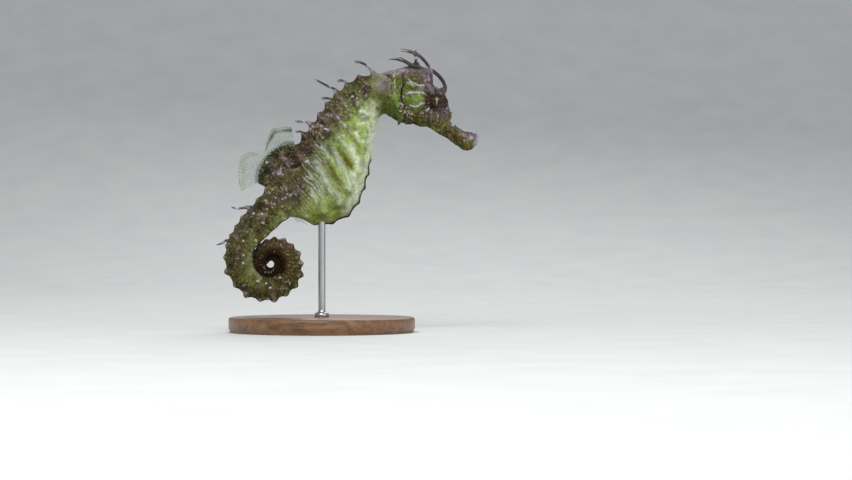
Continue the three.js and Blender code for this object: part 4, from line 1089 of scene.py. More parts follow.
# The jaw, with a pale fringe behind it.
jaw = smooth((72.6 - 0.5 * np.clip(X - 36, 0, 6) - Z + 0.7 * n1) / 1.2) * above(X, 27, 2)
head.lay((68, 70, 16), jaw * 0.85)
head.lay((108, 112, 32), jaw * smooth(noise(P, 1.5, 49) * 2 + 0.5 * n3) * 0.7)
head.lay(BROWN_DARK, jaw * smooth(2.2 * noise(P, 1.0, 51) - 0.5) * 0.7)
fringe = streak(soft, 1.1, (26.2, 75.4), (27.4, 73.4), (29.2, 71.8), (30.6, 71.8))
head.lay((178, 174, 144), fringe * smooth(2.6 * n3 + 1.4 * n4 - 0.7) * 0.85)
head.scale(np.clip(1 + 0.5 * gill_inside * rough(P, 0.8, 83), 0.5, 1.5))

# Dark spokes round the eye.
around_eye = smooth(4.6 - np.hypot(X - 37.7, 1.1 * (Z - 76.9)) + 0.7 * n1)
around_eye = around_eye * on_side * above(X, 33.9, 0.5)
head.lay(EYE_BROWN, around_eye * part(1.0 + 0.3 * n2))
head.lay((80, 46, 16), around_eye * spot(35.0, 77.3, 1.1) * 0.7)
head.lay((20, 12, 4), around_eye * smooth(2.2 * n2 - 0.8 * n3 - 0.2) * 0.7)
head.lay((176, 164, 130), around_eye * dots(P, 0.85, 0.13, 0.5, 99) * 0.75)
spokes = smooth(np.cos(eye_spoke * 17 + 1.5 * n1) * 1.2 - 0.5)
spokes = spokes * above(eye_away, 3.1, 0.5)
head.lay((164, 146, 108), around_eye * spokes * smooth(n3 * 1.6 + n2 + 0.1) * 0.8)

# Under the eye, and the nose.
under = window(X, 32.4, 1, 41.6, 1) * window(Z, 69.3 - 0.5 * n2, 1, 73.8 + 0.5 * n1, 0.8)
fans = noise(np.column_stack([X * 2.6, Y, Z * 0.7]), 1.2, 50)
nose = window(Z, 70.2 - 0.5 * n1 + 0.4 * (41 - X), 0.8, 74.6 + 0.4 * n2, 0.8)
nose = nose * smooth((X - 36.8 + 0.6 * n2) / 1.5)
head.lay((96, 84, 66), nose * 0.75)
head.lay(mix(HEAD_MAUVE, LAVENDER, 0.2), nose * smooth(1.6 * n2 + n1 - 0.1) * 0.7)
head.lay(BROWN_DARK, nose * smooth(1.8 * n3 - 0.8 * n1 - 0.1) * 0.6)
head.lay((92, 84, 50), above(X, 41.6, 0.7) * window(Z, 70.4, 0.6, 73.8, 0.6) * 0.8)
head.lay((116, 102, 100), under * smooth(fans * 2.0 + n2) * 0.5)
head.lay(BROWN_DARK, under * smooth(-fans * 2.4 - 0.3) * 0.5)

# The feelers' roots over the eyes.
feeler_root = streak(folded, 1.1, (38.4, -3.2, 79.6), (41.0, -4.3, 81.6))
head.lay(mix(srgb(66, 54, 28), srgb(84, 72, 44), smooth(0.5 + n2)[:, None]), feeler_root * 0.9)

# The snout: olive below, mauve and dark above.
on_snout = below(t, -7.2, 1.2)
head.lay((58, 56, 14), on_snout * below(height, 0.62, 0.2))
red_patch = smooth(0.9 - near_line(ragged, [(43.6, 65.6), (46.6, 64.0)]) / 1.3 + 0.4 * n2)
head.lay((56, 30, 10), on_snout * red_patch * 0.85)
head.lay((98, 88, 36), on_snout * smooth(n1 * 2 - 0.4) * 0.7)
over = smooth((height - 0.62 + 0.25 * n1 + 0.16 * n2) / 0.14)
head.lay((126, 106, 104), on_snout * over * part(0.8 + 0.9 * n2))
head.lay((88, 78, 44), on_snout * over * smooth(1.8 * n1 - 0.9 * n3 - 0.1) * 0.75)
bars = above(height, 0.5, 0.1) * smooth(np.cos(t * 17 + 2 * n1) - 0.4 + 1.2 * n2)
head.lay(BROWN_DARK, on_snout * bars * 0.45)
head.lay((46, 38, 34), on_snout * above(height, 0.86, 0.06) * window(t, -11.6, 0.6, -8.4, 0.5) * 0.85)
head.lay(lavender(0.3), on_snout * over * smooth(2.6 * n3 - 1.2) * 0.6)
head.lay((96, 88, 32), on_snout * spot(49.2, 62.4, 1.5, 1.3) * part(0.7 + n2))
head.lay(lavender(0.6), spot(43.7, 68.9, 0.4))
head.lay(BROWN_DARK, on_snout * smooth(n2 * 2.0 - 0.4) * 0.7)
end = smooth((-12.1 - t + 0.5 * n1 + 0.5 * n2) / 0.6) * 0.8
end = np.maximum(end, bell(np.hypot(*(ragged - (49.7, 64.9)).T) / 0.75))
head.lay(SNOUT_TIP, end * 0.8)
lift = np.maximum(on_snout, above(X, 35, 2) * below(Z, 71.5, 1.0)) * below(height, 0.8, 0.15)
head.scale(1 + 0.32 * lift)
head.lay((122, 106, 96), lift * np.clip(0.04 + 0.5 * n3, 0, 0.5))

# The gill's slit, ridges behind it, and the small pale marks.
slit = bell((gill - 1.01) / 0.085) * behind * on_side * on_head
second_slit = bell((gill - 1.17) / 0.045) * behind * on_side * smooth(0.4 + 1.4 * n1)
head.lay((24, 18, 6), (slit * 1.15 + second_slit * 0.7) * part(1 + 0.6 * n2))
head.lay((178, 172, 168), bell((gill - 1.08) / 0.035) * behind * on_side * smooth(n3 * 2.5 + 0.1) * 0.8)
rear_ridges = smooth(head_ridge * 4 - 0.6) * below(X, 26.6, 0.8) * above(Z, 80, 2)
head.lay((142, 142, 96), rear_ridges * smooth(0.3 + n3 + n4) * 0.7)
head.scale(np.clip(1 + 0.36 * n4 + 0.24 * n3, 0.4, 1.7))
head.lay(lavender(0.2), gill_lines * part(0.85 + 0.5 * n3 + 0.2 * n4))
MARKS = [  # pale marks of the head
    (0.22, 35.2, 73.9, 35.8, 74.2), (0.14, 36.2, 72.9, 36.6, 73.4), (0.14, 26.2, 73.2, 26.5, 73.5),
    (0.12, 26.7, 75.6, 27.1, 75.5), (0.09, 27, 78.4, 27.2, 77.9), (0.1, 28.2, 74.7, 28.3, 74.5),
    (0.13, 22.6, 82.2, 23, 82.6, 23.9, 82.5), (0.19, 24.2, 79.2, 24.4, 79.4),
    (0.12, 22.5, 78.5, 22.6, 78.6), (0.26, 33.1, 86.7, 33.4, 86.9), (0.14, 35.1, 82, 35.4, 81.9),
    (0.12, 37.1, 79.6, 37.3, 80), (0.2, 26.8, 86.9, 27.4, 87), (0.12, 30, 87, 30.9, 86.8),
    (0.14, 22.6, 86.3, 23.1, 86.3), (0.11, 41.5, 74.5, 42, 74.2), (0.1, 40.2, 74.4, 40.3, 74.1),
    (0.1, 38.5, 67.1, 38.9, 67.3), (0.13, 43.7, 69.2, 43.9, 69.1), (0.11, 47.3, 63.3, 47.4, 63.9),
    (0.1, 42.4, 64.8, 42.6, 64.9), (0.2, 31.8, 92, 31.6, 91),
]
FAINT_MARKS = [
    (0.3, 33, 72.6, 33.6, 72.9), (0.17, 38.1, 72.8, 38.3, 72.2, 38.8, 71.4), (0.1, 36.4, 71.2, 36.3, 69.8),
    (0.12, 38.4, 70.6, 38.5, 70.1), (0.12, 29.9, 72.5, 29.3, 72), (0.11, 28.9, 71.5, 28.8, 71.2),
    (0.1, 28, 73.5, 27.7, 72.8), (0.09, 30.2, 73, 30, 72.7), (0.11, 39.3, 79.5, 40.1, 78.9),
    (0.1, 40.2, 66.6, 40.3, 66.8), (0.1, 22.2, 80, 22.5, 80.8), (0.12, 37.2, 79, 36.2, 80.6),
    (0.14, 24.6, 86.4, 25.4, 86.7),
]
for rows, strength in ((MARKS, 0.9), (FAINT_MARKS, 0.42)):
    mark = strokes(rows) * above(np.abs(Y), 0.9, 0.8) * part(0.8 + 0.5 * n2 + 0.4 * n4)
    head.lay(lavender(0.45), mark * strength)
head.lay((44, 40, 12), below(height, 0.10, 0.08) * window(t, -7.5, 1, -1, 1) * 0.8)
head.lay((30, 20, 12), bell(nostril / 0.5))
colour.scale(np.clip(1 + (0.32 * n4 + 0.22 * n3) * (1 - 0.65 * belly), 0.4, 1.7))

# Lighter places on the back and coil.
light_patch = 0.5 * spot(-10.5, 42.8, 2.6, 1.3) + 0.4 * spot(-17, 57.2, 1.2)
light_patch = light_patch + 0.3 * streak(XZ, 1.4, (-24.7, 30), (-26.0, 24), (-25.4, 20), (-23.2, 17))
colour.scale(1 + 0.8 * light_patch)
colour.lay((112, 112, 84), light_patch * 0.5)
colour.lay(head.rgb, on_head)
colour.lay((118, 116, 124), 0.03 * (1 - belly) * (1 - dark))

# Pale tips of the knobs and spines, pale marks of the body, and pale dots.
BODY_MARKS = [
    (0.18, 1, 67.5, 2.3, 67.2), (0.2, 7.5, 65.2, 7.7, 65.1), (0.24, -14.3, 52.6, -13.6, 52.9),
    (0.22, -5, 56.6, -4.5, 56.8), (0.2, -18.3, 56.3, -17.9, 56.4), (0.2, 10.2, 78.1, 10.5, 78.3),
    (0.2, 13.3, 71.4, 14.1, 71.6), (0.16, 14.9, 74.7, 15.1, 74.8), (0.15, 12, 75.9, 12.5, 76.2),
    (0.18, 5.4, 71.3, 5.8, 71), (0.22, 10.2, 62.1, 10.6, 61.9), (0.24, 1.4, 50.6, 1.6, 50.5),
    (0.2, -1.1, 54.3, -0.8, 54.1), (0.22, 0.3, 48.5, 0.4, 48.3), (0.24, -2.3, 48, -2.1, 47.9),
    (0.22, -3.1, 45.6, -3, 45.4), (0.18, 8.5, 48.5, 8.7, 48.4), (0.22, -19.4, 36.4, -19.1, 36.3),
    (0.12, 7.8, 75.2, 8.5, 75), (0.1, -1.7, 62.3, -0.7, 61.4), (0.09, 1.1, 62.4, 1.5, 61.5),
    (0.2, -22.6, 39.4, -22.3, 39.5), (0.15, -21.8, 30.7, -21.6, 30.4), (0.22, -21.2, 17.1, -21, 17),
    (0.15, -13, 41.9, -12.6, 41.8), (0.2, -26, 25.7, -25.9, 25.6), (0.2, -26, 23.1, -25.9, 23),
    (0.18, -18.4, 16.3, -18.3, 16.2), (0.18, -17.1, 14.9, -16.9, 14.8), (0.16, -13.8, 18.4, -13.7, 18.1),
    (0.16, -16.3, 47.5, -16.1, 47.3), (0.17, -17.4, 46.5, -17.1, 46.3), (0.16, -18.5, 43.9, -18.3, 43.7),
    (0.17, -15.4, 44.8, -15, 44.6), (0.15, -12.9, 44.2, -12.6, 44.2), (0.13, -12, 44.9, -11.8, 44.7),
    (0.15, -11.3, 46, -11.1, 45.8), (0.13, -11.6, 47.8, -11.4, 47.5), (0.13, -13.4, 48.2, -12.7, 47.5),
    (0.16, -15.7, 42.8, -15.4, 42.6), (0.13, -16.4, 41.6, -16.1, 41.5), (0.14, -18.2, 41.1, -17.9, 41),
    (0.14, -8.6, 45.9, -8.3, 45.6), (0.15, -19.8, 39.5, -19.5, 39.3), (0.13, -26, 30.4, -25.8, 30.3),
]
mark = strokes(BODY_MARKS, reach=2.1) * above(np.abs(Y), 1.2, 0.8)
mark_colour = lavender(0.35 + 0.5 * above(t, 9.5, 3)[:, None])
crowd = window(Z, 40, 1, 49, 1) * window(X, -19.4, 1, -7.6, 1)
colour.lay(mark_colour, mark * np.clip(0.7 + 0.4 * n2 + 0.4 * n4, 0, 0.9) * (1 - 0.3 * crowd))
tips = knob_tip * (1 - 0.75 * above(t, 29, 3)) * np.clip(0.55 + 1.2 * noise(P, 2.7, 40), 0.1, 1)
colour.lay(mix(SPECK, TAIL_MAUVE, 0.25), tips * 0.75)
spine_tips = spine * part(0.6 + n2) * smooth((Z - 72) / 2 + below(X, 20, 2)) * 0.8
colour.lay(mix(HEAD_MAUVE, LAVENDER, 0.45), spine_tips * (1 - 0.5 * on_head) * (1 - 0.9 * feeler_root))

# The roots of the neck's feelers, and the crown.
neck_root = streak(folded, 1.2, (17.6, -2.0, 84.8), (16.6, -2.7, 87.4)) * smooth((Z - 84.4 + 0.5 * n1) / 1.2)
colour.lay((146, 152, 122), neck_root * part(0.75 + 0.5 * n2))
colour.lay(lavender(0.35), streak(XZ, 0.5, (16.9, 87.5), (16.3, 88.2)) * 0.7)
colour.lay(mix(OLIVE, BROWN_DARK, 0.35), crown * 0.85)
colour.lay(BROWN_DARK, crown * smooth(1.8 * n2 + n3) * 0.7)
colour.lay(HEAD_MAUVE, crown * smooth(1.6 * rough(P, 1.3, 85) + 0.5 * (X - CROWN_X) - 0.3) * 0.6)
colour.lay(SPECK, crown * above(Z, 90.2, 0.4) * 0.7)
speck = mix(SPECK, TAN, above(t, 22, 4)[:, None] * 0.7)
colour.lay(speck, dot * np.clip(0.6 + 0.6 * n1, 0.2, 0.9) * (1 - 0.5 * inner_turn) * (1 - 0.5 * on_head))
colour.lay(mix(VENTRAL_PALE, WHITE, 0.4), small_dots * 0.4 * (1 - 0.5 * dark))
write_colour(skin, "markings", part(colour.rgb))
write_value(skin, "shine", part(0.5 * dot + 0.6 * tips + 0.3 * belly + 0.4 * spine) * (1 - dark))
write_value(skin, "pale", part(belly * (0.1 + 0.3 * pale_streaks)))

# ---------------------------------------------------------------- materials


class Material:
    """A node material under construction."""

    def __init__(self, name, **constants):
        self.material = bpy.data.materials.new(name)
        self.material.use_nodes = True
        self.tree = self.material.node_tree
        self.surface = self.tree.nodes["Principled BSDF"]
        for key, value in constants.items():
            self.surface.inputs[key.replace("_", " ")].default_value = value
        self.place = self.node("ShaderNodeTexCoord").outputs["Object"]

    def node(self, kind, inputs=None, **settings):
        node = self.tree.nodes.new(kind)
        for key, value in settings.items():
            setattr(node, key, value)
        for key, value in (inputs or {}).items():
            if isinstance(value, bpy.types.NodeSocket):
                self.tree.links.new(value, node.inputs[key])
            else:
                node.inputs[key].default_value = value
        return node

    def attribute(self, name, output="Fac"):
        return self.node("ShaderNodeAttribute", attribute_name=name).outputs[output]

    def stretched(self, scale):
        return self.node("ShaderNodeMapping", {"Vector": self.place, "Scale": scale}).outputs["Vector"]

    def noise(self, scale, detail=3.0, roughness=0.5, vector=None, distortion=0.0):
        inputs = {"Vector": vector or self.place, "Scale": scale, "Detail": detail, "Roughness": roughness,
                  "Distortion": distortion}
        return self.node("ShaderNodeTexNoise", inputs).outputs["Fac"]

    def cells(self, scale, feature="F1"):
        inputs = {"Vector": self.place, "Scale": scale}
        return self.node("ShaderNodeTexVoronoi", inputs, feature=feature).outputs["Distance"]

    def math(self, operation, a, b=0.0):
        return self.node("ShaderNodeMath", {0: a, 1: b}, operation=operation).outputs[0]

    def ranged(self, value, low, high, new_low, new_high):
        inputs = {"Value": value, "From Min": low, "From Max": high, "To Min": new_low, "To Max": new_high}
        return self.node("ShaderNodeMapRange", inputs).outputs["Result"]

    def ramp(self, value, *stops):
        node = self.node("ShaderNodeValToRGB", {"Fac": value})
        while len(node.color_ramp.elements) < len(stops):
            node.color_ramp.elements.new(0.5)
        for element, (position, stop_colour) in zip(node.color_ramp.elements, stops):
            element.position = position
            element.color = (*stop_colour, 1)
        return node.outputs["Color"]

    def blend(self, share, a, b, mode="MIX"):
        node = self.node("ShaderNodeMix", data_type="RGBA", blend_type=mode)
        for socket, value in ((node.inputs[0], share), (node.inputs[6], a), (node.inputs[7], b)):
            if isinstance(value, bpy.types.NodeSocket):
                self.tree.links.new(value, socket)
            else:
                socket.default_value = value if isinstance(value, float) else (*value, 1)
        return node.outputs[2]

    def shaded(self, colour, shade):
        """A colour times a grey shade."""
        grey = self.node("ShaderNodeCombineColor", {"Red": shade, "Green": shade, "Blue": shade})
        return self.blend(1.0, colour, grey.outputs["Color"], "MULTIPLY")

    def bump(self, height, distance, strength=1.0, onto=None):
        inputs = {"Height": height, "Distance": distance * MM, "Strength": strength}
        if onto is not None:
            inputs["Normal"] = onto
        return self.node("ShaderNodeBump", inputs).outputs["Normal"]

    def into(self, **sockets):
        for key, socket in sockets.items():
            self.tree.links.new(socket, self.surface.inputs[key.replace("_", " ")])
        return self.material


def skin_material():
    m = Material("seahorse_skin", Subsurface_Weight=0.05, Subsurface_Scale=0.0006)
    base = m.attribute("markings", "Color")
    shade = m.ranged(m.noise(1500, 4, 0.6), 0.3, 0.7, 0.72, 1.28)
    grain = m.ranged(m.cells(4200), 0.0, 0.7, 1.12, 0.84)
    both = m.math("MULTIPLY", shade, grain)
    base = m.shaded(base, both)
    net = m.ranged(m.cells(620, "DISTANCE_TO_EDGE"), 0.0, 0.12, 1.0, 0.0)
    net = m.math("MULTIPLY", net, m.ranged(m.noise(500, 2), 0.4, 0.6, 0.0, 0.6))
    base = m.blend(m.math("MULTIPLY", net, m.attribute("pale")), base, mix(PALE, WHITE, 0.4))
    pores = m.bump(m.cells(4200), 0.05, 0.6)
    folds = m.bump(m.noise(1100, 5, 0.65, distortion=0.6), 0.12, 0.6, pores)
    wetness = m.ranged(m.noise(900, 2), 0.3, 0.7, 0.42, 0.62)
    wetness = m.math("SUBTRACT", wetness, m.math("MULTIPLY", m.attribute("shine"), 0.14))
    gloss = m.ranged(m.attribute("shine"), 0.0, 1.0, 0.05, 0.2)
    return m.into(Base_Color=base, Roughness=wetness, Normal=folds, Specular_IOR_Level=gloss)


FLESH_NODES = ("snout", "head", "neck", "trunk_upper", "trunk_lower", "tail_base", "tail_bend", "tail_curl_1",
               "tail_curl_2", "tail_curl_3", "tail_tip")
put(skin, "seahorse_skin", skin_material(), FLESH_NODES)

# ---------------------------------------------------------------- eyes


def eye_material():
    m = Material("eye", Specular_IOR_Level=0.25, Coat_Weight=0.22, Coat_Roughness=0.06, Roughness=0.35)
    base = m.shaded(m.attribute("iris", "Color"), m.ranged(m.noise(2600, 4, 0.6), 0.3, 0.7, 0.75, 1.3))
    return m.into(Base_Color=base, Normal=m.bump(m.noise(3000, 3), 0.02, 0.4))


EYE_FINISH = eye_material()
EYE_ROWS, EYE_COLUMNS = ((110, 160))
GAZE_X, GAZE_Y, GAZE_Z = 0.31, 0.95, -0.10  # the way that the pupils look
CORNEA_BULGE, EYE_BACK = 0.16, 2.2  # in mm, and in radians from the pupil to the rim behind
IRIS_SCALE = 0.05  # the noise is laid out with this many mm to a degree
PALE_BAR = [  # the pale fork behind the pupil, in degrees towards the rear and up
    [(23, -19, 0), (26, -7, 0), (23, 4, 0), (25, 13, 0)],
    [(25, 13, 0), (33, 27, 0)],
    [(25, 13, 0), (18, 26, 0)],
]


def iris_colours(turn, phi, side):
    """Colours of the ball from degrees from the pupil, and radians round it."""
    at = np.column_stack([-side * np.cos(phi) * turn, np.sin(phi) * turn, 0 * turn]) * IRIS_SCALE
    ragged = noise(at, 0.5, 61)
    rays = smooth(np.cos(phi * 11 + 7.0 * noise(at, 1.1, 60)) * 1.3 - 0.5)
    iris = Coat((40, 29, 15), len(turn))
    iris.lay((20, 14, 8), smooth(noise(at, 0.6, 63) * 2))
    iris.lay((160, 142, 96), rays * smooth(noise(at, 0.4, 64) * 2.4 + 0.1) * above(turn, 27, 8) * 0.8)
    iris.lay((84, 60, 34), smooth(noise(at, 0.3, 62) * 2.2 - 0.6) * above(turn, 22, 8) * 0.7)
    iris.lay((112, 98, 58), bell((turn - 20 - 2 * ragged) / 2.4) * (0.4 + 0.4 * ragged))
    iris.lay((8, 9, 5), below(turn, 17.5, 2.5))
    wobble = np.column_stack([3.2 * ragged, 2.4 * noise(at, 0.35, 65), 0 * turn])
    away = np.minimum.reduce([near_line(at / IRIS_SCALE + wobble, line) for line in PALE_BAR])
    bar = smooth(1.9 - away / (1.7 + 0.7 * noise(at, 0.25, 66)))
    iris.lay((172, 162, 102), bar * part(0.9 + 0.6 * ragged))
    return iris.rgb


for side, name, centre in ((-1, "eye_right", EYE[0]), (1, "eye_left", EYE[1])):
    gaze = unit([GAZE_X, side * GAZE_Y, GAZE_Z])
    sideways = unit(np.cross(gaze, (0, 0, 1)))
    upward = np.cross(sideways, gaze)
    theta = np.linspace(0.004, EYE_BACK, EYE_ROWS)
    phi = circle(EYE_COLUMNS)
    radius = EYE_RADIUS + CORNEA_BULGE * bell(theta / 0.5)
    ring = np.cos(phi)[:, None] * sideways + np.sin(phi)[:, None] * upward
    ball = Shell()
    ball.add_rings(centre + radius[:, None, None]
                   * (np.cos(theta)[:, None, None] * gaze + np.sin(theta)[:, None, None] * ring[None]))
    mesh = ball.mesh(name)
    turn = np.degrees(np.r_[np.repeat(theta, EYE_COLUMNS), 0, theta[-1]])
    phi = np.r_[np.tile(phi, EYE_ROWS), 0, 0]
    write_colour(mesh, "iris", iris_colours(turn, phi, side))
    put(mesh, name + "_ball", EYE_FINISH, (name,))

# ---------------------------------------------------------------- feelers


def feeler_material():
    m = Material("feeler", Specular_IOR_Level=0.4)
    base = m.shaded(m.attribute("markings", "Color"), m.ranged(m.noise(1800, 4, 0.6), 0.3, 0.7, 0.7, 1.35))
    return m.into(Base_Color=base, Roughness=m.ranged(m.noise(1300), 0.3, 0.7, 0.4, 0.6),
                  Normal=m.bump(m.noise(2500, 4, 0.6), 0.06, 0.7))


DARK, DARK_PALE, ROOT_MAUVE = srgb(50, 38, 44), srgb(116, 98, 112), mix(HEAD_MAUVE, LAVENDER, 0.35)
FEELER_FINISH = feeler_material()
FEELER_ROWS, FEELER_CORNERS = 70, 10


class Feelers(Shell):
    """Tapered threads of skin gathered in one piece, with the colours of their points."""

    def __init__(self):
        super().__init__()
        self.colours = []

    def thread(self, path, root_radius, pale=(), root_colour=DARK, tip=0.13, swellings=(), from_u=0.0):
        """A thread along its path. Pale: place, width, amount. Swellings: place, size, width."""
        u = np.linspace(from_u, 1, FEELER_ROWS)
        wobble = np.column_stack([u * 9 + path[0][0], u * 0 + path[0][1], u * 0])
        radii = mix(root_radius, tip, u**0.8) * (1 + 0.16 * noise(wobble, 0.8, 70))
        radii = radii * mix(1, 0.25, above(u, 0.97, 0.03))
        for place, swell, width in swellings:
            radii = radii * (1 + swell * bell((u - place) / width))
        self.add_rings(tube(curve(path, u), radii, FEELER_CORNERS, 0.85))
        shade = Coat(DARK, FEELER_ROWS)
        for place, width, amount in pale:
            shade.lay(lavender(0.2), amount * bell((u - place) / width))
        shade.lay(root_colour, below(u, 0.16, 0.14))
        shade.lay(DARK_PALE, above(u, 0.88, 0.12) * 0.5)
        self.colours += [np.repeat(shade.rgb, FEELER_CORNERS, axis=0), shade.rgb[:1], shade.rgb[-1:]]

    def twig(self, path, u, way, length, radius, root_colour=DARK):
        """A short branch from the place u of a path."""
        start = curve(path, np.array([u]))[0]
        end = start + unit(way) * length
        middle = (start + end) / 2 + np.array([0, 0, 0.12 * length])
        self.thread([start, middle, end], radius, tip=0.07, root_colour=root_colour)

    def piece(self, name, replaces=()):
        mesh = self.mesh(name)
        write_colour(mesh, "markings", np.vstack(self.colours))
        put(mesh, name, FEELER_FINISH, replaces)


def long_feeler(name, path, radius, twigs, **looks):
    """One of the head's feelers. Each twig: its place, way, length and radius, and perhaps a colour."""
    feeler = Feelers()
    feeler.thread(path, radius, **looks)
    for twig in twigs:
        feeler.twig(path, *twig)
    feeler.piece(name + "_skin", (name,))


EYE_TWIGS = [
    (0.47, (-1, 0, 0.35), 1.7, 0.24), (0.56, (-1, 0, 0.5), 1.2, 0.2), (0.79, (0.25, 0, 1), 0.9, 0.28),
]
for name, path in (("feeler_eye_right", EYE_FEELER), ("feeler_eye_left", mirrored(EYE_FEELER))):
    long_feeler(name, path, 0.62, EYE_TWIGS, pale=((0.56, 0.02, 0.7),), root_colour=(60, 48, 36),
                swellings=((0.79, 0.35, 0.02), (0.56, -0.25, 0.02)))
CROWN_ROOT = (84, 66, 72)
long_feeler("feeler_crown_right", CROWN_FEELER, 0.75,
            [(0.66, (-0.9, 0, 0.75), 1.5, 0.24), (0.42, (-0.8, 0, -0.7), 1.1, 0.24)], root_colour=CROWN_ROOT)
long_feeler("feeler_crown_left", CROWN_FEELER_LEFT, 0.7, [(0.6, (-0.9, 0, 0.2), 1.2, 0.22)],
            root_colour=CROWN_ROOT)
long_feeler("feeler_crown_middle", MIDDLE_FEELER, 0.62, [(0.24, (0.9, 0, 0.6), 0.9, 0.24, ROOT_MAUVE)],
            pale=((0.3, 0.07, 0.9),), root_colour=(70, 64, 34))

PALE_PLACES = {  # on each of the body's feelers: place, width and amount
    "neck": (0.38, 0.1, 0.85), "chest_1": (0.36, 0.12, 0.9), "chest_2": (0.45, 0.1, 0.3),
    "chest_3": (0.3, 0.12, 0.5), "trunk_1": (0.55, 0.16, 0.85), "trunk_2": (0.3, 0.12, 0.4),
    "tail": (0.62, 0.12, 1.0), "bend": (0.5, 0.2, 0.8),
}
SWOLLEN = {"tail": ((0.62, 0.5, 0.06),), "bend": ((0.62, 0.5, 0.06),)}
ring_feelers = Feelers()
for name, (radius, points) in FEELERS.items():
    for path in (points, mirrored(points)):
        ring_feelers.thread(path, radius * 0.85, pale=(PALE_PLACES[name],), root_colour=ROOT_MAUVE,
                            from_u=0.2, swellings=SWOLLEN.get(name, ()))
ring_feelers.piece("feelers_of_the_rings")

# ---------------------------------------------------------------- fins


def fin_material():
    m = Material("fin", Specular_IOR_Level=0.5, IOR=1.36)
    base = m.shaded(m.attribute("markings", "Color"), m.ranged(m.noise(1200, 4, 0.6), 0.3, 0.7, 0.82, 1.18))
    cover = m.math("ADD", m.attribute("cover"), m.ranged(m.noise(800, 3), 0.3, 0.7, -0.06, 0.06))
    return m.into(Base_Color=base, Alpha=cover, Roughness=m.ranged(m.noise(1500), 0.3, 0.7, 0.25, 0.45),
                  Normal=m.bump(m.noise(2200, 4, 0.6), 0.04, 0.6))


FIN_FINISH = fin_material()
FIN_ROWS, RAY_COLUMNS = 46, 10  # rows from root to edge, and columns to each ray
FIN_THICK, RAY_THICK, RAY_TAPER = 0.04, 0.07, 0.55  # half thickness of skin and of rays at the root
FIN_BODY, FIN_RAY, FIN_BAND, FIN_MARGIN = (128, 150, 132), (98, 108, 78), (52, 72, 66), (132, 158, 74)


def make_fin(name, root, edge, rays, replaces, dark_root=0.3, ripple=0.25, sink=0.9, band=1.0, margin=1.0,
             body=FIN_BODY, ray_colour=FIN_RAY, cloudy=0.0, blur=0.0, second=FIN_BODY):
    """A thin skin stretched over rays, between a root line and an edge line."""
    cols = rays * RAY_COLUMNS + 1
    half = FIN_ROWS * cols
    along = np.linspace(0, 1, cols)
    phase = along * rays
    ray = bell(((phase % 1) - 0.5) / 0.2)
    start, end = curve(root, along), curve(edge, along)
    inwards = unit(start - end) * sink
    reach = mix(0.975, 1.0, bell(((phase % 1) - 0.5) / 0.33))
    reach = reach * (0.985 + 0.015 * noise(np.column_stack([phase, along, along]), 3, 80))
    out = np.linspace(0, 1, FIN_ROWS)[:, None] * reach
    sheet = (start + inwards)[None] + (end - start - inwards)[None] * out[..., None]
    normal = unit(np.cross(np.gradient(sheet, axis=1), np.gradient(sheet, axis=0)))
    sheet = sheet + normal * (ripple * out**1.5 * np.sin(phase * 0.9))[..., None]
    thick = normal * (FIN_THICK + RAY_THICK * ray * (1 - RAY_TAPER * out))[..., None]

    faces = grid_faces(FIN_ROWS, cols, False)
    back = [[n + half for n in reversed(face)] for face in faces]
    rim = [*range(cols), *range(2 * cols - 1, half, cols), *range(half - 2, half - cols - 1, -1),
           *range(half - 2 * cols, 0, -cols)]
    sides = [[b, a, a + half, b + half] for a, b in zip(rim, rim[1:] + rim[:1])]
    shell = Shell()
    points = np.vstack([(sheet + thick).reshape(-1, 3), (sheet - thick).reshape(-1, 3)])
    shell.add(points, faces + back + sides)
    mesh = shell.mesh(name)

    along, ray = np.tile(along, FIN_ROWS), np.tile(ray, FIN_ROWS)
    out, where = out.ravel(), sheet.reshape(-1, 3)
    patchy = 0.5 + 0.5 * noise(where, 2.2, 81)
    fade = (1 - blur * above(out, 0.4, 0.6)) * (1 - 1.1 * blur * above(along, 0.55, 0.4))
    fade = fade * (1 - 0.7 * blur * below(out, 0.45, 0.25))
    band = band * mix(1.0, 0.35, above(along, 0.36, 0.1))
    band = smooth(bell((out - 0.78) / 0.10) * band * (0.2 + 1.3 * patchy))
    margin = above(out, 0.86, 0.08) * margin
    at_root = smooth((dark_root - out) / 0.14)
    shade = Coat(body, half)
    shade.lay(second, smooth((0.62 - out + 0.3 * noise(where, 2.4, 82)) / 0.3))
    shade.lay(ray_colour, ray * 0.55)
    shade.lay(FIN_BAND, band * 0.9)
    shade.lay(FIN_MARGIN, margin * smooth(patchy * 1.6))
    shade.lay((40, 54, 24), at_root * (0.2 + 0.8 * ray))
    cover = 0.12 + 0.14 * ray * (1 - 0.5 * out) + 0.35 * margin * patchy + 0.45 * band
    cover = (cover + 0.6 * at_root * (0.3 + 0.7 * ray) + cloudy * patchy) * fade
    write_colour(mesh, "markings", np.vstack([shade.rgb, shade.rgb]))
    write_value(mesh, "cover", part(np.r_[cover, cover]))
    put(mesh, name, FIN_FINISH, replaces)


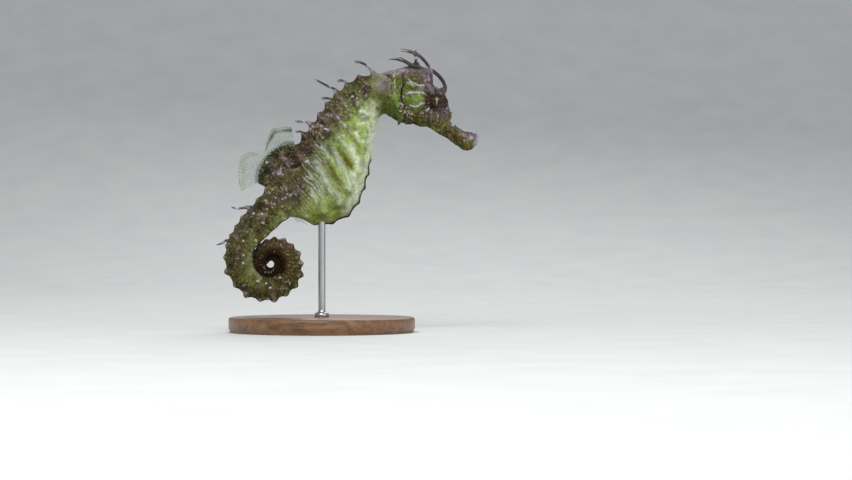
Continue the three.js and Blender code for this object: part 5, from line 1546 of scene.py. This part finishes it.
BACK_FIN_ROOT = [(-9.2, 0, 63.3), (-12.4, 0, 62.9), (-17.5, 0, 60), (-20.1, 0, 56.4), (-21.7, 0, 52.4),
                 (-21.8, 0, 49.5)]
BACK_FIN_EDGE = [(-10.1, -0.6, 68.5), (-14, -1.2, 68.3), (-16.7, -0.5, 67.6), (-18.4, 2.6, 64),
                 (-19.6, 4, 60.6), (-23, 2.2, 60), (-26.7, -0.4, 59), (-27.7, -1.2, 54.7),
                 (-27.8, -0.8, 50), (-27, -0.4, 46.8)]
make_fin("back_fin", BACK_FIN_ROOT, BACK_FIN_EDGE, 34, ("dorsal_fin",), dark_root=0.26)
SIDE_FIN_ROOT = [(22.4, -5.75, 84.2), (21.8, -5.95, 81.6), (21.9, -5.75, 79.0)]
SIDE_FIN_EDGE = [(18.2, -8.2, 87.0), (16.2, -9.6, 82.6), (17.8, -8.6, 77.8)]
for name, turn_over in (("right", list), ("left", mirrored)):
    replaced = ("pectoral_fin_" + name,)
    make_fin("side_fin_" + name, turn_over(SIDE_FIN_ROOT), turn_over(SIDE_FIN_EDGE), 10, replaced,
             dark_root=0.12, ripple=0.12, sink=1.4, band=0.1, margin=0.2, cloudy=0.32, blur=0.7,
             body=(172, 176, 144), ray_colour=(150, 136, 128), second=(158, 144, 150))


def vent_line(distance):
    """A line along the belly behind the vent, some mm below the skin."""
    rows = ribs_at(np.array([11.15, 11.575, 12.0]))
    down = unit(rows[:, 2:4] - rows[:, 0:2])
    return [(x, 0, z) for x, z in rows[:, 2:4] + down * distance]


make_fin("vent_fin", vent_line(0.0), vent_line(2.5), 5, ("anal_fin",), dark_root=0.2, ripple=0.05, sink=0.8,
         band=0.2, margin=0.5)

# ---------------------------------------------------------------- stand

FOOT_RADIUS, FOOT_HEIGHT, FOOT_ROUND = 31, 5, 0.8  # the last rounds the upper edge
ROD_RADIUS, COLLAR_RADIUS = 1.2, 2.4
FOOT_SIDES, ROD_SIDES = 160, 48


def turned(name, profile, sides, material, replaces):
    """A piece turned about the z axis, from radius and height of each ring."""
    turn = circle(sides)
    shell = Shell()
    r, z = np.array(profile).T[..., None]
    shell.add_rings(np.stack([r * np.cos(turn), r * np.sin(turn), z + 0 * turn], -1))
    put(shell.mesh(name), name, material, replaces)


def wood_material():
    m = Material("walnut", Specular_IOR_Level=0.45, Coat_Weight=0.25, Coat_Roughness=0.2)
    rings = m.noise(420, 5, 0.6, m.stretched((0.12, 1.0, 0.6)), 1.2)
    pores = m.noise(2600, 2, 0.5, m.stretched((0.04, 1.0, 1.0)))
    base = m.ramp(rings, (0.3, srgb(86, 58, 38)), (0.5, srgb(128, 92, 62)), (0.7, srgb(152, 114, 80)))
    base = m.blend(m.ranged(pores, 0.55, 0.7, 0.0, 0.6), base, srgb(64, 42, 28))
    return m.into(Base_Color=base, Roughness=m.ranged(rings, 0.3, 0.7, 0.34, 0.5),
                  Normal=m.bump(pores, 0.05, 0.4))


def steel_material():
    m = Material("steel", Metallic=1.0)
    brushed = m.noise(2400, 4, 0.7, m.stretched((1.0, 1.0, 0.02)))
    base = m.ramp(brushed, (0.3, srgb(168, 168, 170)), (0.7, srgb(206, 206, 208)))
    return m.into(Base_Color=base, Roughness=m.ranged(brushed, 0.3, 0.7, 0.22, 0.4),
                  Normal=m.bump(brushed, 0.01, 0.3))


foot = [(0.2, 0), (29.9, 0), (30.3, 0.05), (30.6, 0.35), (30.62, 0.9), (FOOT_RADIUS, 1.15)]
for turn in np.radians(np.linspace(90, 0, 9)):
    radius = FOOT_RADIUS - FOOT_ROUND * (1 - math.sin(turn))
    foot.append((radius, FOOT_HEIGHT - FOOT_ROUND * (1 - math.cos(turn))))
GROOVE_OUTER, GROOVE_INNER, GROOVE_FLOOR = 26.0, 25.3, 4.88  # a fine groove round the top
foot += [(GROOVE_OUTER, FOOT_HEIGHT), (GROOVE_OUTER - 0.2, GROOVE_FLOOR), (GROOVE_INNER + 0.2, GROOVE_FLOOR),
         (GROOVE_INNER, FOOT_HEIGHT), (3.0, FOOT_HEIGHT), (0.2, FOOT_HEIGHT)]
turned("stand_base_turned", foot, FOOT_SIDES, wood_material(), ("stand_base",))
rod_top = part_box("stand_rod")[1][2] / MM
rod = [(0.1, 4.6), (COLLAR_RADIUS, 4.6), (COLLAR_RADIUS, 6.0), (2.2, 6.4), (1.5, 6.6), (1.25, 7.0),
       (ROD_RADIUS, 7.4)]
rod += [(ROD_RADIUS, z) for z in np.linspace(8, rod_top - 0.2, 12)] + [(1.05, rod_top), (0.1, rod_top)]
turned("stand_rod_turned", rod, ROD_SIDES, steel_material(), ("stand_rod",))

# ---------------------------------------------------------------- floor, lights, camera

FLOOR_WIDTH, FLOOR_FRONT, FLOOR_BACK = 4.4, -1.6, 0.55  # in metres; the floor curves up behind
CURVE_RADIUS, WALL_TOP = 1, 2.4
FLOOR_COLUMNS, CURVE_STEPS = 12, 25
profile = [(FLOOR_FRONT, 0)]
for turn in np.radians(np.linspace(0, 90, CURVE_STEPS)):
    profile.append((FLOOR_BACK + CURVE_RADIUS * math.sin(turn), CURVE_RADIUS * (1 - math.cos(turn))))
profile.append((FLOOR_BACK + CURVE_RADIUS, WALL_TOP))
across = np.linspace(-FLOOR_WIDTH / 2, FLOOR_WIDTH / 2, FLOOR_COLUMNS)
sweep = Shell()
sweep.add([(x, y, z) for y, z in np.array(profile) / MM for x in across / MM],
          grid_faces(len(profile), FLOOR_COLUMNS, False))
paint = Material("pale_floor", Specular_IOR_Level=0.2, Roughness=0.85)
tone = paint.ramp(paint.noise(40, 3), (0.3, srgb(226, 228, 227)), (0.7, srgb(233, 234, 232)))
floor = smooth_object(sweep.mesh("floor"), "floor", paint.into(Base_Color=tone))

LIT = Vector((0, 0, 0.05))
LIGHTS = [  # name, place and width in metres, and power in watts
    ("key", (-0.10, -0.58, 0.60), 0.5, 4.7),
    ("fill", (0.6, -0.6, 0.25), 0.7, 1.6),
    ("rim", (0.1, 0.6, 0.6), 0.6, 2.2),
]
for name, place, width, power in LIGHTS:
    data = bpy.data.lights.new(name, "AREA")
    data.size, data.energy = width, power
    lamp = add_object(name, data)
    lamp.location = place
    lamp.rotation_euler = (LIT - Vector(place)).to_track_quat("-Z", "Y").to_euler()
world = bpy.data.worlds.new("studio")
world.use_nodes = True
background = world.node_tree.nodes["Background"]
background.inputs["Color"].default_value = (0.93, 0.96, 1.0, 1)
background.inputs["Strength"].default_value = 0.34
bpy.context.scene.world = world
bpy.context.scene.view_settings.view_transform = "Standard"

CAMERA_AT, FOCAL_LENGTH, SENSOR_WIDTH = (0.03467, -0.788, 0.03067), 100, 36
camera_data = bpy.data.cameras.new("camera")
camera_data.lens, camera_data.sensor_width = FOCAL_LENGTH, SENSOR_WIDTH
camera_data.clip_start, camera_data.clip_end = 0.01, 20
camera = add_object("camera", camera_data)
camera.location = CAMERA_AT
camera.rotation_euler = (math.pi / 2, 0, 0)
bpy.context.scene.camera = camera

bpy.context.view_layer.update()
